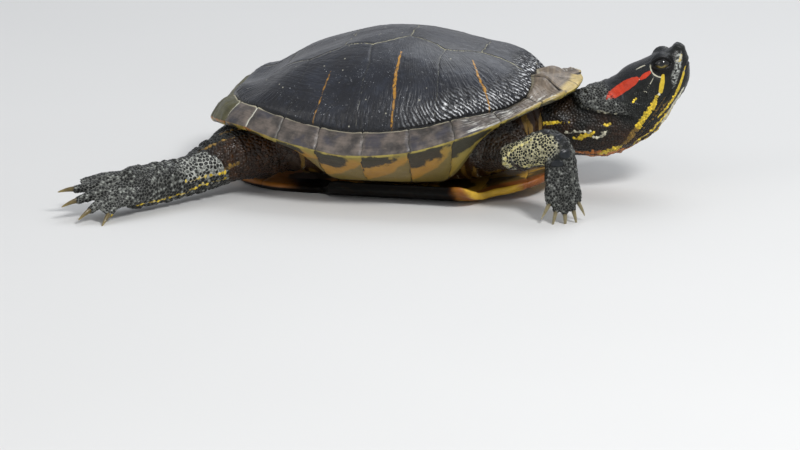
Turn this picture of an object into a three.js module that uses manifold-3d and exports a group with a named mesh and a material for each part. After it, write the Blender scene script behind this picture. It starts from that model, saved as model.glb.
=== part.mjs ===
// A life-size red-eared slider turtle (Trachemys scripta elegans), basking flat on its plastron with the
// neck stretched up and the right hind leg stretched back.
// Millimetres. +X towards the snout, +Y to the turtle's left, +Z up, floor at z = 0.
import * as THREE from "three";
import { mergeVertices } from "three/addons/utils/BufferGeometryUtils.js";
import Module from "manifold-3d";

const wasm = await Module();
wasm.setup();

// ---------------------------------------------------------------- driving dimensions
const SHELL_LENGTH = 200; // straight carapace length
const SHELL_WIDTH = 148;
const SHELL_HEIGHT = 83.8; // floor to the top of the dome
const SHELL_BACK_BROADER = 0.06; // how much wider the rear half of the outline is
const SHELL_OUTLINE_POWER = 2.25; // 2 is an ellipse
const SHELL_WALL = 5;
const DOME_CENTRE_X = 8;
const BRIDGE_LIP_HEIGHT = 13; // where the marginals' lower faces meet the plastron's wings
const PLASTRON_THICKNESS = 4.2;
const WING_RISE = BRIDGE_LIP_HEIGHT - PLASTRON_THICKNESS - 0.35;
const PLASTRON_FRONT_RISE = 10;
const HEAD_PITCH = 45; // degrees above the horizon
const HEAD_YAW = 8; // degrees to the turtle's left
const HEAD_AT = [148.5, 10.35, 67.1]; // the point midway between the eyes, on the head's own axis
const EYE_RADIUS = 5.6;
const EYE_AT = [-1.8, 7.4, 6.4]; // the left eye's centre in the head's own frame
const MOUTH_CORNER = [-12.5, -7.8]; // along the head and up
const MOUTH_RISE = 12.5; // degrees from the head's axis
const JAW_BACK_RISE = 62; // the slope of the lower jaw's rear end
const GAP = 0.3; // between pieces that touch
const FLOOR = 0;

const rad = THREE.MathUtils.degToRad;
const lerp = THREE.MathUtils.lerp;
const smooth = THREE.MathUtils.smoothstep;
const vec = (p) => new THREE.Vector3(...p);

// ---------------------------------------------------------------- materials
const paint = (color, roughness) =>
  new THREE.MeshStandardMaterial({ color, roughness, metalness: 0 });
const materials = {
  carapace: paint(0x1f2228, 0.35),
  plastron: paint(0xb98a2e, 0.45),
  skin: paint(0x23251c, 0.6),
  eye: paint(0x15120c, 0.08),
  claw: paint(0x6f6235, 0.4),
};

// ---------------------------------------------------------------- geometry helpers
// A smooth curve through [place, value] pairs, level at both ends.
function profile(pairs) {
  const slope = (i) =>
    i === 0 || i === pairs.length - 1
      ? 0
      : (pairs[i + 1][1] - pairs[i - 1][1]) / (pairs[i + 1][0] - pairs[i - 1][0]);
  return (at) => {
    if (at <= pairs[0][0]) return pairs[0][1];
    for (let i = 0; i < pairs.length - 1; i++) {
      const [x0, y0] = pairs[i];
      const [x1, y1] = pairs[i + 1];
      if (at > x1) continue;
      const w = x1 - x0;
      const t = (at - x0) / w;
      const a = 2 * t ** 3 - 3 * t ** 2 + 1;
      const b = t ** 3 - 2 * t ** 2 + t;
      const c = t ** 3 - t ** 2;
      return a * y0 + (1 - a) * y1 + w * (b * slope(i) + c * slope(i + 1));
    }
    return pairs[pairs.length - 1][1];
  };
}

// A closed surface over a stack of rings of equal size, with a pole at each end.
function overRings(rings, startPole, endPole) {
  const n = rings[0].length;
  const points = [startPole, ...rings.flat(), endPole];
  const last = points.length - 1;
  const faces = [];
  for (let i = 0; i < n; i++) {
    const j = (i + 1) % n;
    faces.push([0, 1 + j, 1 + i]);
    faces.push([last, last - n + i, last - n + j]);
    for (let r = 0; r < rings.length - 1; r++) {
      const a = 1 + r * n;
      const b = a + n;
      faces.push([a + i, a + j, b + i], [a + j, b + j, b + i]);
    }
  }
  const geometry = new THREE.BufferGeometry().setFromPoints(points);
  const volume = faces.reduce(
    (sum, [a, b, c]) => sum + points[a].dot(points[b].clone().cross(points[c])),
    0,
  );
  geometry.setIndex((volume < 0 ? faces.map(([a, b, c]) => [a, c, b]) : faces).flat());
  return geometry;
}

function solidOf(geometry) {
  const bare = geometry.clone();
  bare.deleteAttribute("normal");
  bare.deleteAttribute("uv");
  const merged = mergeVertices(bare, 1e-4);
  return new wasm.Manifold(
    new wasm.Mesh({
      numProp: 3,
      vertProperties: new Float32Array(merged.attributes.position.array),
      triVerts: new Uint32Array(merged.index.array),
    }),
  );
}

function geometryOf(solid) {
  const mesh = solid.getMesh();
  const points = new Float32Array(mesh.numVert * 3);
  for (let i = 0; i < mesh.numVert; i++)
    points.set(mesh.vertProperties.subarray(i * mesh.numProp, i * mesh.numProp + 3), i * 3);
  return new THREE.BufferGeometry()
    .setAttribute("position", new THREE.BufferAttribute(points, 3))
    .setIndex(new THREE.BufferAttribute(new Uint32Array(mesh.triVerts), 1));
}

// The same closed surface moved outwards, to cut a neighbour so that a gap stays.
function grown(solid, by = GAP + 0.1) {
  const geometry = geometryOf(solid);
  geometry.computeVertexNormals();
  const place = geometry.attributes.position;
  const normal = geometry.attributes.normal;
  for (let i = 0; i < place.count; i++)
    place.setXYZ(
      i,
      place.getX(i) + by * normal.getX(i),
      place.getY(i) + by * normal.getY(i),
      place.getZ(i) + by * normal.getZ(i),
    );
  return solidOf(geometry);
}

const largest = (solid) =>
  solid.decompose().reduce((best, s) => (s.volume() > best.volume() ? s : best));

const cutBy = (solid, ...others) =>
  largest(others.reduce((left, other) => left.subtract(grown(other)).subtract(other), solid));

// The part of a solid that lies beyond a point in the given direction, less half a gap.
const beyond = (solid, point, direction) => {
  const n = vec(direction).normalize();
  return solid.trimByPlane(n.toArray(), n.dot(vec(point)) + GAP / 2);
};
const before = (solid, point, direction) =>
  beyond(solid, point, direction.map((d) => -d));

// What touches the floor stands on a small flat.
const onFloor = (solid) => largest(solid.trimByPlane([0, 0, 1], FLOOR));

// A body of oval sections along a smooth path. A section is { at, wide, up, down, power } with half sizes.
function limb(sections, { sides = 12, between = 3, upward = [0, 0, 1], ends = [0.6, 0.6] } = {}) {
  const path = new THREE.CatmullRomCurve3(
    sections.map((s) => vec(s.at)),
    false,
    "centripetal",
  );
  const size = (key) => {
    const curve = profile(sections.map((s, i) => [i, s[key] ?? 2]));
    return curve;
  };
  const [wide, up, down, power] = ["wide", "up", "down", "power"].map(size);
  const steps = (sections.length - 1) * between;
  const ringAt = (k, shrink, forward) => {
    const t = k / between;
    const along = path.getPoint(t / (sections.length - 1));
    const tangent = path.getTangent(t / (sections.length - 1));
    const side = vec(upward).cross(tangent).normalize();
    const top = tangent.clone().cross(side);
    const centre = along.clone().addScaledVector(tangent, forward);
    return Array.from({ length: sides }, (_, i) => {
      const a = (2 * Math.PI * (i + 0.5)) / sides;
      const round = (x) => Math.sign(x) * Math.abs(x) ** (2 / power(t));
      const height = Math.sin(a) > 0 ? up(t) : down(t);
      return centre
        .clone()
        .addScaledVector(side, shrink * wide(t) * round(Math.cos(a)))
        .addScaledVector(top, shrink * height * round(Math.sin(a)));
    });
  };
  const least = (t) => Math.min(wide(t), up(t), down(t));
  const tip = (k, sign, reach) => {
    const t = k / between;
    const at = t / (sections.length - 1);
    return path.getPoint(at).addScaledVector(path.getTangent(at), sign * reach * least(t));
  };
  const rings = Array.from({ length: steps + 1 }, (_, k) => ringAt(k, 1, 0));
  rings.unshift(ringAt(0, 0.72, -0.7 * ends[0] * least(0)));
  rings.push(ringAt(steps, 0.72, 0.7 * ends[1] * least(sections.length - 1)));
  return solidOf(overRings(rings, tip(0, -1, ends[0]), tip(steps, 1, ends[1])));
}

// The frame whose x runs along forward and whose z leans towards dorsal, at a point.
function frameAt(at, forward, dorsal) {
  const x = vec(forward).normalize();
  const y = vec(dorsal).cross(x).normalize();
  const z = x.clone().cross(y);
  return new THREE.Matrix4().makeBasis(x, y, z).setPosition(...at);
}

const placed = (solid, matrix) => solidOf(geometryOf(solid).applyMatrix4(matrix));

// ---------------------------------------------------------------- carapace
// t is the angle round the shell in degrees: 0 at the front, 90 at the left side, 180 at the rear.
const folded = (t) => Math.abs(((t + 180) % 360) - 180);

const rimHeight = profile([
  [0, 58.5],
  [31, 56],
  [48, 49.5],
  [65, 41],
  [80, 34],
  [95, 31],
  [110, 34.5],
  [133, 40.4],
  [147, 39.7],
  [160, 37.6],
  [180, 31.5],
]);
// How far the seam between the dome and the marginals lies inside the rim, and above it.
const marginalWidth = profile([
  [0, 23.5],
  [8, 24.8],
  [17, 21],
  [25, 17.6],
  [32, 13.6],
  [42, 11.6],
  [50, 11.6],
  [90, 9.5],
  [135, 10],
  [148, 11],
  [160, 12.4],
  [180, 11.5],
]);
const marginalDrop = profile([
  [0, 4],
  [9, 4],
  [17, 2.4],
  [25, 0.6],
  [32, 0],
  [42, 0.6],
  [50, 2.8],
  [58, 5.8],
  [66, 8.2],
  [90, 10.5],
  [133, 9],
  [146, 9.4],
  [158, 11.4],
  [168, 11.6],
  [180, 11.4],
]);
// How far the dome stands above or below its even curve, from the rear to the front, except at its edge.
const domeTrim = profile([
  [-90, 6],
  [-85, 3.4],
  [-79, -1.8],
  [-72, -4.8],
  [-62, -4.3],
  [-50, -2.7],
  [-30, -2.2],
  [-10, -0.5],
  [12, -0.2],
  [30, -1.1],
  [46, -0.9],
  [58, 1],
  [66, 1.6],
  [75, 0.6],
  [84, -1],
]);
const TRIM_FADE = 16;
const marginalBulge = (t) => 0.5 + 2.5 * smooth(folded(t), 135, 160);
const bridgeShare = (t) => smooth(folded(t), 50, 64) * (1 - smooth(folded(t), 103, 116));

function rimPoint(t) {
  const a = rad(t);
  const bent = (x) => Math.sign(x) * Math.abs(x) ** (2 / SHELL_OUTLINE_POWER);
  const x = (SHELL_LENGTH / 2) * bent(Math.cos(a));
  const broader = 1 - SHELL_BACK_BROADER * Math.cos(a) ** 3 - SHELL_BACK_BROADER * Math.cos(a);
  const y = (SHELL_WIDTH / 2) * bent(Math.sin(a)) * broader;
  return new THREE.Vector3(x, y, rimHeight(folded(t)));
}

function rimNormal(t) {
  const along = rimPoint(t + 2).sub(rimPoint(t - 2));
  return new THREE.Vector3(along.y, -along.x, 0).normalize();
}

// A point inside the rim by inset, and above it by rise.
const insideRim = (t, inset, rise) =>
  rimPoint(t).addScaledVector(rimNormal(t), -inset).add(new THREE.Vector3(0, 0, rise));

// The dome at the angle t and at a share of the way out to the marginals, or its inner face.
function domePoint(t, share, wall = 0) {
  const facing = Math.cos(rad(t));
  const power = 1.7 + 0.05 * facing + 0.4 * Math.sin(rad(t)) ** 2;
  const bend = 0.72 - 0.02 * facing - 0.1 * Math.sin(rad(t)) ** 2;
  const edge = insideRim(t, marginalWidth(folded(t)) + wall, marginalDrop(folded(t)) - 0.8 * wall);
  const x = lerp(DOME_CENTRE_X, edge.x, share);
  const height = edge.z + (SHELL_HEIGHT - wall - edge.z) * (1 - share ** power) ** bend;
  return new THREE.Vector3(x, lerp(0, edge.y, share), height + domeTrim(x) * (1 - share ** TRIM_FADE));
}

function makeCarapace() {
  const around = 40;
  const angles = Array.from({ length: around }, (_, i) => (360 * i) / around);
  const ring = (point) => angles.map(point);
  const lip = (t, rise) => {
    const share = bridgeShare(t);
    const inset = lerp(11, 17.5, share);
    const height = lerp(rimHeight(folded(t)) - 1.2, BRIDGE_LIP_HEIGHT, share);
    return insideRim(t, inset, height - rimHeight(folded(t)) + rise);
  };
  const between = (a, b, share, bulge) =>
    a.clone().lerp(b, share).add(new THREE.Vector3(0, 0, bulge));
  const rings = [
    ...[0.25, 0.5, 0.7, 0.85, 0.95].map((s) => ring((t) => domePoint(t, s))),
    ring((t) => domePoint(t, 1)),
    ring((t) => between(domePoint(t, 1), rimPoint(t), 0.5, marginalBulge(t))),
    ring((t) => rimPoint(t)),
    ring((t) => insideRim(t, 0.9, -2.4)),
    ring((t) => between(insideRim(t, 0.9, -2.4), lip(t, 0), 0.5, -1.2)),
    ring((t) => lip(t, 0)),
    ring((t) => lip(t, lerp(2.2, 4.5, bridgeShare(t)))),
    ...[1, 0.75, 0.4].map((s) => ring((t) => domePoint(t, s, SHELL_WALL))),
  ];
  const top = new THREE.Vector3(DOME_CENTRE_X, 0, SHELL_HEIGHT);
  const under = new THREE.Vector3(DOME_CENTRE_X, 0, SHELL_HEIGHT - SHELL_WALL);
  return solidOf(overRings(rings, top, under));
}

// ---------------------------------------------------------------- plastron
const plastronHalfWidth = profile([
  [-88, 16],
  [-80, 28],
  [-62, 38],
  [-42, 41],
  [-32, 41.5],
  [-24, 56.6],
  [-10, 57.2],
  [36, 57.2],
  [49, 56],
  [59, 38.5],
  [70, 35.5],
  [82, 27],
  [91, 14],
]);

// The lower face: flat on the floor, lifted at the front, and turned up into the bridges.
function plastronBottom(x, y) {
  const front = PLASTRON_FRONT_RISE * Math.max(0, (x - 40) / 51) ** 1.5;
  const back = 2.2 * Math.max(0, (-60 - x) / 28) ** 1.5;
  const wing = Math.max(0, (Math.abs(y) - 38) / 19) ** 1.7;
  return FLOOR + Math.max(front, back) * (1 - wing) + WING_RISE * wing;
}

function makePlastron() {
  const stations = [-88, -82, -72, -58, -42, -31, -24, -12, 12, 36, 49, 54, 59, 68, 76, 84, 91];
  const across = [-1, -0.86, -0.74, -0.6, 0.6, 0.74, 0.86, 1];
  const ringAt = (x) => {
    const half = plastronHalfWidth(x);
    const low = across.map((s) => new THREE.Vector3(x, s * half, plastronBottom(x, s * half)));
    const high = low.map((p) => p.clone().add(new THREE.Vector3(0, 0, PLASTRON_THICKNESS)));
    return [...low, ...high.reverse()];
  };
  const end = (x, further) =>
    new THREE.Vector3(x + further, 0, plastronBottom(x, 0) + PLASTRON_THICKNESS / 2);
  return solidOf(overRings(stations.map(ringAt), end(-88, 4), end(91, 0.8)));
}

// ---------------------------------------------------------------- trunk, neck and tail
function makeTrunk() {
  return limb(
    [
      { at: [-74, 0, 25], wide: 36, up: 12, down: 14, power: 2.3 },
      { at: [-60, 0, 28], wide: 47, up: 21.5, down: 21.5, power: 2.35 },
      { at: [-30, 0, 32.5], wide: 54.5, up: 31.5, down: 27.6, power: 2.4 },
      { at: [10, 0, 37], wide: 56.5, up: 36, down: 32, power: 2.4 },
      { at: [45, 0, 36.5], wide: 50, up: 33, down: 30.5, power: 2.35 },
      { at: [64, 0, 36], wide: 45, up: 23, down: 24.5, power: 2.3 },
      { at: [73, 0, 36], wide: 38, up: 20, down: 19, power: 2.3 },
    ],
    { sides: 16, between: 1 },
  );
}

function makeNeck() {
  return limb(
    [
      { at: [70, 0.2, 36.4], wide: 16, up: 17.4, down: 17.4 },
      { at: [82, 0.8, 36.5], wide: 16.5, up: 18, down: 18 },
      { at: [97, 2.2, 36.6], wide: 16.6, up: 15.9, down: 18.6, power: 2.1 },
      { at: [111, 4.4, 39.2], wide: 16, up: 18.3, down: 21.4, power: 2.1 },
      { at: [122, 6.2, 45.2], wide: 15.4, up: 17.6, down: 21.6, power: 2.1 },
      { at: [129, 7.4, 50.4], wide: 15.1, up: 15.6, down: 19.6, power: 2.1 },
      { at: [134.5, 8.4, 55.6], wide: 15.1, up: 15, down: 17.6, power: 2.1 },
    ],
    { sides: 14, between: 2, ends: [0.4, 0.02] },
  );
}

function makeTail() {
  return limb(
    [
      { at: [-71, 0, 27], wide: 8.5, up: 7, down: 7 },
      { at: [-82, -1, 26.5], wide: 7, up: 5.8, down: 5.8 },
      { at: [-96, -4, 20], wide: 4.6, up: 4.2, down: 4.2 },
      { at: [-105, -6.5, 12.5], wide: 3, up: 2.8, down: 2.8 },
      { at: [-111, -8.5, 7], wide: 1.5, up: 1.4, down: 1.4 },
    ],
    { sides: 10, between: 2, ends: [0.4, 1] },
  );
}

// ---------------------------------------------------------------- head
// The head's own frame: x along its axis to the snout, y to the turtle's left, z to the crown.
const headFrame = new THREE.Matrix4()
  .makeRotationZ(rad(HEAD_YAW))
  .multiply(new THREE.Matrix4().makeRotationY(-rad(HEAD_PITCH)))
  .setPosition(...HEAD_AT);

function makeSkull() {
  const whole = limb(
    [
      { at: [-30, 0, 0], wide: 15, up: 19.2, down: 20, power: 2.1 },
      { at: [-20, 0, 0.5], wide: 15.2, up: 17.9, down: 18, power: 2.2 },
      { at: [-12, 0, 0.2], wide: 14.6, up: 15.4, down: 15.2, power: 2.35 },
      { at: [-5.5, 0, 0.4], wide: 12.6, up: 13.5, down: 13.9, power: 2.4 },
      { at: [0, 0, 1.4], wide: 10.4, up: 11.7, down: 11.9, power: 2.4 },
      { at: [4, 0, 2.6], wide: 8.6, up: 8.6, down: 8.8, power: 2.35 },
      { at: [7.6, 0, 4.2], wide: 6.9, up: 5.8, down: 5.8, power: 2.3 },
      { at: [10.2, 0, 5.8], wide: 5.0, up: 3.9, down: 3.7, power: 2.2 },
    ],
    { sides: 16, between: 2, ends: [0.02, 0.5] },
  );
  return whole.subtract(eyeball(1, GAP + 0.1)).subtract(eyeball(-1, GAP + 0.1));
}

function eyeball(side, extra) {
  const [x, y, z] = EYE_AT;
  return solidOf(
    new THREE.SphereGeometry(EYE_RADIUS + extra, 12, 8).scale(1, 1, 0.92).translate(x, side * y, z),
  );
}

// All that lies below the mouth's line and ahead of a line from its corner down the throat.
function belowMouth(gap) {
  const [x, z] = MOUTH_CORNER;
  const block = solidOf(new THREE.BoxGeometry(80, 80, 80));
  const cut = (solid, angle) => {
    const normal = [Math.sin(rad(angle)), 0, -Math.cos(rad(angle))];
    return solid.trimByPlane(normal, normal[0] * x + normal[2] * z + gap);
  };
  return cut(cut(block, MOUTH_RISE), JAW_BACK_RISE);
}

function makeHead() {
  const skull = makeSkull();
  const jaw = largest(skull.intersect(belowMouth(GAP)));
  const head = largest(skull.subtract(belowMouth(0)));
  return { head: placed(head, headFrame), jaw: placed(jaw, headFrame) };
}

const makeEye = (side) => placed(eyeball(side, 0), headFrame);

// ---------------------------------------------------------------- hands and feet
// In their own frame: x towards the toes, z towards the back of the foot.
const hand = {
  palm: [
    { at: [-3, 0, 0], wide: 7.6, up: 6.4, down: 6.4 },
    { at: [6, 0, 0], wide: 8.8, up: 5, down: 4.6 },
    { at: [14, 0, 0], wide: 10.6, up: 3.8, down: 3 },
    { at: [20.5, 0, -0.8], wide: 10.6, up: 1.1, down: 1 },
  ],
  toes: { count: 5, clawed: 5, spread: 60, from: 6, root: 2.9, tip: 2.1, length: 19, droop: 1.2 },
  claw: { length: 9, radius: 1.5, bend: 24 },
};
const foot = {
  palm: [
    { at: [-4, 0, 0], wide: 10, up: 10, down: 10 },
    { at: [7, 0, 0], wide: 12.4, up: 7.2, down: 6.4 },
    { at: [17, 0, 0], wide: 15, up: 4.8, down: 3.8 },
    { at: [28.5, 0, -2], wide: 16.4, up: 1.2, down: 1.1 },
  ],
  toes: { count: 5, clawed: 4, spread: 84, from: 8, root: 3.4, tip: 2.3, length: 28, droop: 3.2 },
  claw: { length: 9, radius: 1.7, bend: 17 },
};

// Where a toe ends and which way it points; middle toes are the longest.
function toe(kind, i) {
  const { count, spread, from, length } = kind.toes;
  const share = (i / (count - 1)) * 2 - 1;
  const angle = rad((share * spread) / 2);
  const long = length * (1 - 0.2 * share ** 2);
  const reach = (d, drop) => [from + d * Math.cos(angle), d * Math.sin(angle), drop];
  return { angle, long, reach };
}

function makePaddle(kind) {
  let paddle = limb(kind.palm, { sides: 10, between: 1, ends: [0.5, 0.5] });
  for (let i = 0; i < kind.toes.count; i++) {
    const { long, reach: out } = toe(kind, i);
    const { root, tip, droop } = kind.toes;
    paddle = paddle.add(
      limb(
        [
          { at: out(2, 0.4), wide: root, up: root, down: root * 0.8 },
          { at: out(long * 0.62, 0.5 - droop * 0.3), wide: root * 0.85, up: root * 0.85, down: root * 0.8 },
          { at: out(long, -droop), wide: tip, up: tip, down: tip },
        ],
        { sides: 6, between: 1, ends: [0.5, 0.8] },
      ),
    );
  }
  return paddle;
}

function makeClaw(kind, i) {
  const { long, reach } = toe(kind, i);
  const { length, radius, bend } = kind.claw;
  const drop = (d) => -kind.toes.droop - length * Math.tan(rad(bend)) * (d / length) ** 1.6;
  const section = (d, size) => ({
    at: reach(long + 0.2 + d, drop(d)),
    wide: radius * size * 0.85,
    up: radius * size,
    down: radius * size,
  });
  const sections = [section(0, 1.05), section(length * 0.5, 0.74), section(length, 0.25)];
  return limb(sections, { sides: 5, between: 1, ends: [0.4, 0.8] });
}

// ---------------------------------------------------------------- legs
// Each leg is given by its joints, from the body outwards, and by how its paddle lies.
const legs = {
  front_right: {
    kind: hand,
    names: ["upper_arm", "forearm", "hand"],
    upper: [
      { at: [62, -37, 30.5], wide: 11, up: 12, down: 12 },
      { at: [69, -44, 29.5], wide: 9.6, up: 8.8, down: 9.2 },
      { at: [80, -56, 31.5], wide: 8.6, up: 8, down: 8.4 },
    ],
    elbow: { at: [73, -51, 31.5], along: [0.72, -0.66, 0.1] },
    lower: [
      { at: [73, -53.5, 29.6], wide: 8.6, up: 6.6, down: 6.8 },
      { at: [85, -58, 34.4], wide: 8.8, up: 8.8, down: 9 },
      { at: [94.5, -60, 37.6], wide: 8.8, up: 9.6, down: 9.6 },
      { at: [99.8, -61.5, 34.6], wide: 8.6, up: 8.8, down: 8.6 },
      { at: [101.4, -63.6, 28.2], wide: 9, up: 7.4, down: 7.6 },
      { at: [102.2, -66, 21.5], wide: 9.4, up: 6.8, down: 6.8 },
    ],
    wrist: { at: [100.8, -63, 31.5], along: [0.2, -0.36, -0.9] },
    paddle: { at: [100.8, -64.5, 29], forward: [0.2, -0.36, -0.9], dorsal: [0.45, -0.8, 0.4] },
  },
  front_left: {
    kind: hand,
    names: ["upper_arm", "forearm", "hand"],
    upper: [
      { at: [62, 36, 29.5], wide: 11, up: 12, down: 12 },
      { at: [68, 46, 28.6], wide: 11, up: 12.5, down: 12.5 },
      { at: [76, 60, 26], wide: 10.5, up: 11.5, down: 11.5 },
    ],
    elbow: { at: [71, 52, 27], along: [0.3, 0.95, -0.2] },
    lower: [
      { at: [68, 46, 28], wide: 10.5, up: 11.5, down: 11.5 },
      { at: [71, 58, 25.5], wide: 10, up: 11, down: 11 },
      { at: [75.5, 70, 20], wide: 9.4, up: 10.2, down: 10 },
      { at: [81, 80, 13.5], wide: 8.6, up: 8.4, down: 8.4 },
      { at: [87, 88, 9], wide: 7.8, up: 6.6, down: 6.6 },
    ],
    wrist: { at: [81.5, 80.6, 13], along: [0.6, 0.72, -0.35] },
    paddle: { at: [82, 82, 11], forward: [0.74, 0.64, -0.24], dorsal: [0.15, 0.1, 1] },
  },
  hind_right: {
    kind: foot,
    names: ["thigh", "shank", "foot"],
    upper: [
      { at: [-58, -33, 23.4], wide: 14, up: 14, down: 14 },
      { at: [-70, -42, 22], wide: 14, up: 15, down: 14.5 },
      { at: [-87, -55, 19.5], wide: 12.5, up: 12.6, down: 13 },
      { at: [-97, -64, 17], wide: 11.5, up: 7.6, down: 12 },
    ],
    knee: { at: [-90, -58, 18], along: [-0.72, -0.69, -0.1] },
    lower: [
      { at: [-85, -53, 18.3], wide: 12, up: 12, down: 12.4 },
      { at: [-100, -72, 15.2], wide: 10.2, up: 9.4, down: 11.8 },
      { at: [-110, -84.5, 14.2], wide: 9.8, up: 11, down: 11.8 },
      { at: [-123, -99, 13.6], wide: 9.4, up: 11.2, down: 11.4 },
    ],
    ankle: { at: [-117, -92.5, 13.9], along: [-0.7, -0.7, -0.08] },
    paddle: { at: [-118.6, -95, 13.9], forward: [-0.75, -0.66, -0.02], dorsal: [0.2, -0.33, 0.92] },
  },
  hind_left: {
    kind: foot,
    names: ["thigh", "shank", "foot"],
    upper: [
      { at: [-58, 33, 23.4], wide: 14, up: 14, down: 14 },
      { at: [-70, 42, 22], wide: 14, up: 14.5, down: 14 },
      { at: [-80, 55, 18.5], wide: 13, up: 13, down: 13 },
      { at: [-86, 66, 15.5], wide: 12, up: 12, down: 12 },
    ],
    knee: { at: [-80.5, 57, 18], along: [-0.45, 0.88, -0.15] },
    lower: [
      { at: [-76, 48, 20], wide: 12.4, up: 12.6, down: 12.6 },
      { at: [-81.5, 60, 17], wide: 11.6, up: 11.8, down: 11.6 },
      { at: [-85.5, 71, 13.4], wide: 10.6, up: 10.6, down: 10.2 },
      { at: [-89, 82, 10.6], wide: 9.8, up: 8.8, down: 8.8 },
      { at: [-92, 91, 8.8], wide: 9.4, up: 7.4, down: 7.6 },
    ],
    ankle: { at: [-88, 79, 11], along: [-0.35, 0.92, -0.18] },
    paddle: { at: [-88, 81, 9.6], forward: [-0.5, 0.86, -0.1], dorsal: [-0.05, 0.08, 1] },
  },
};

function makeLeg(leg, shell) {
  const upper = limb(leg.upper, { sides: 12, between: 1 });
  const lower = limb(leg.lower, { sides: 12, between: 2 });
  const { at, forward, dorsal } = leg.paddle;
  const frame = frameAt(at, forward, dorsal);
  const whole = placed(makePaddle(leg.kind), frame);
  const claws = Array.from({ length: leg.kind.toes.clawed }, (_, i) => {
    // The clawless toe of a hind foot is its outer one.
    const outer = leg.paddle.forward[1] * leg.paddle.forward[0] > 0 ? 1 : 0;
    const index = leg.kind.toes.clawed < leg.kind.toes.count ? i + outer : i;
    return placed(makeClaw(leg.kind, index), frame);
  });
  const middle = leg.elbow ?? leg.knee;
  const far = leg.wrist ?? leg.ankle;
  const upperPart = cutBy(before(upper, middle.at, middle.along), ...shell);
  const shin = before(beyond(lower, middle.at, middle.along), far.at, far.along);
  const lowerPart = onFloor(cutBy(shin, ...shell));
  const paddlePart = onFloor(beyond(whole, far.at, far.along));
  return {
    upper: upperPart,
    lower: lowerPart,
    paddle: paddlePart,
    claws: claws.map((claw) => onFloor(cutBy(claw, paddlePart))),
  };
}

// ---------------------------------------------------------------- assembly
const turtle = new THREE.Group();

function addPart(name, solid, material, parent = turtle) {
  const mesh = new THREE.Mesh(geometryOf(solid), materials[material]);
  mesh.name = name;
  parent.add(mesh);
  return mesh;
}

const carapace = makeCarapace();
const plastron = makePlastron();
const shell = [carapace, plastron];
addPart("carapace", carapace, "carapace");
addPart("plastron", plastron, "plastron");

const nape = new THREE.Vector3(-25.5, 0, 0).applyMatrix4(headFrame).toArray();
const headAxis = new THREE.Vector3(1, 0, 0).transformDirection(headFrame).toArray();
const neck = cutBy(before(makeNeck(), nape, headAxis), ...shell);
const { head, jaw } = makeHead();
const tail = cutBy(makeTail(), ...shell);
const eyes = [makeEye(1), makeEye(-1)];

const roots = [neck, tail];
for (const [name, leg] of Object.entries(legs)) {
  const made = makeLeg(leg, shell);
  const [side] = name.split("_").slice(1);
  const [upperName, lowerName, paddleName] = leg.names;
  addPart(`${upperName}_${side}`, made.upper, "skin");
  addPart(`${lowerName}_${side}`, made.lower, "skin");
  addPart(`${paddleName}_${side}`, made.paddle, "skin");
  made.claws.forEach((claw, i) => addPart(`${paddleName}_${side}_claw_${i + 1}`, claw, "claw"));
  roots.push(made.upper);
}
addPart("trunk", cutBy(makeTrunk(), ...shell, ...roots), "skin");
addPart("neck", neck, "skin");
addPart("tail", tail, "skin");
addPart("head", beyond(head, nape, headAxis), "skin");
addPart("lower_jaw", jaw, "skin");
addPart("eye_left", eyes[0], "eye");
addPart("eye_right", eyes[1], "eye");

// The part's origin is at the middle of its outline, on the floor.
const outline = new THREE.Box3().setFromObject(turtle, true);
const middle = outline.getCenter(new THREE.Vector3());
turtle.position.set(-middle.x, -middle.y, -outline.min.z);

export default turtle;
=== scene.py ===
"""The looks of a life-size red-eared slider turtle (Trachemys scripta elegans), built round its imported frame.

Shapes are worked out in millimetres, with the middle of the shell at x = y = 0 and the floor at z = 0,
+X towards the snout and +Y to the turtle's left. to_metres() puts them where the frame's shell is.
"""

import math

import bmesh
import bpy
import numpy as np
from mathutils import Matrix, Vector
from mathutils.kdtree import KDTree


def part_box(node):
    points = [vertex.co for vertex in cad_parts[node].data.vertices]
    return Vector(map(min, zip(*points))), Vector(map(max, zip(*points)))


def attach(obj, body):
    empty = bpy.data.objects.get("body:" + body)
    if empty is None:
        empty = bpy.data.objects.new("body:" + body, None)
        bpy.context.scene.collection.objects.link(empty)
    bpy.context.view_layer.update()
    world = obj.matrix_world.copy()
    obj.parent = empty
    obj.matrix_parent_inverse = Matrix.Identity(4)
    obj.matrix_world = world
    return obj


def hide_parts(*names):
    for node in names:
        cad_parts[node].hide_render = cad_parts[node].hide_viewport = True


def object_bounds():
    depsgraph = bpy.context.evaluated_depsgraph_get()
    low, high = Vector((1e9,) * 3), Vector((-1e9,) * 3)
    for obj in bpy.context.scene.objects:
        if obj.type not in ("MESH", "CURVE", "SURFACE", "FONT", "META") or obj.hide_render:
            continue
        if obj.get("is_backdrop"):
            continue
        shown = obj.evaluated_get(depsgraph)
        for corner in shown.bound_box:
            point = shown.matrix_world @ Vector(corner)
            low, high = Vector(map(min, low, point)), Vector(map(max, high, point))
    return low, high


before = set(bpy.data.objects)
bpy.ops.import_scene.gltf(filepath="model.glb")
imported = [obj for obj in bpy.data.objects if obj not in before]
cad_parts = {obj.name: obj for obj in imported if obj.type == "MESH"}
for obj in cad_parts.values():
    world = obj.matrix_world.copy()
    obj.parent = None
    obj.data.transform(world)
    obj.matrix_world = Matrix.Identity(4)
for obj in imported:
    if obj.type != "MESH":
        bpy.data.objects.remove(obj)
cad_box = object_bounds()

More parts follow.
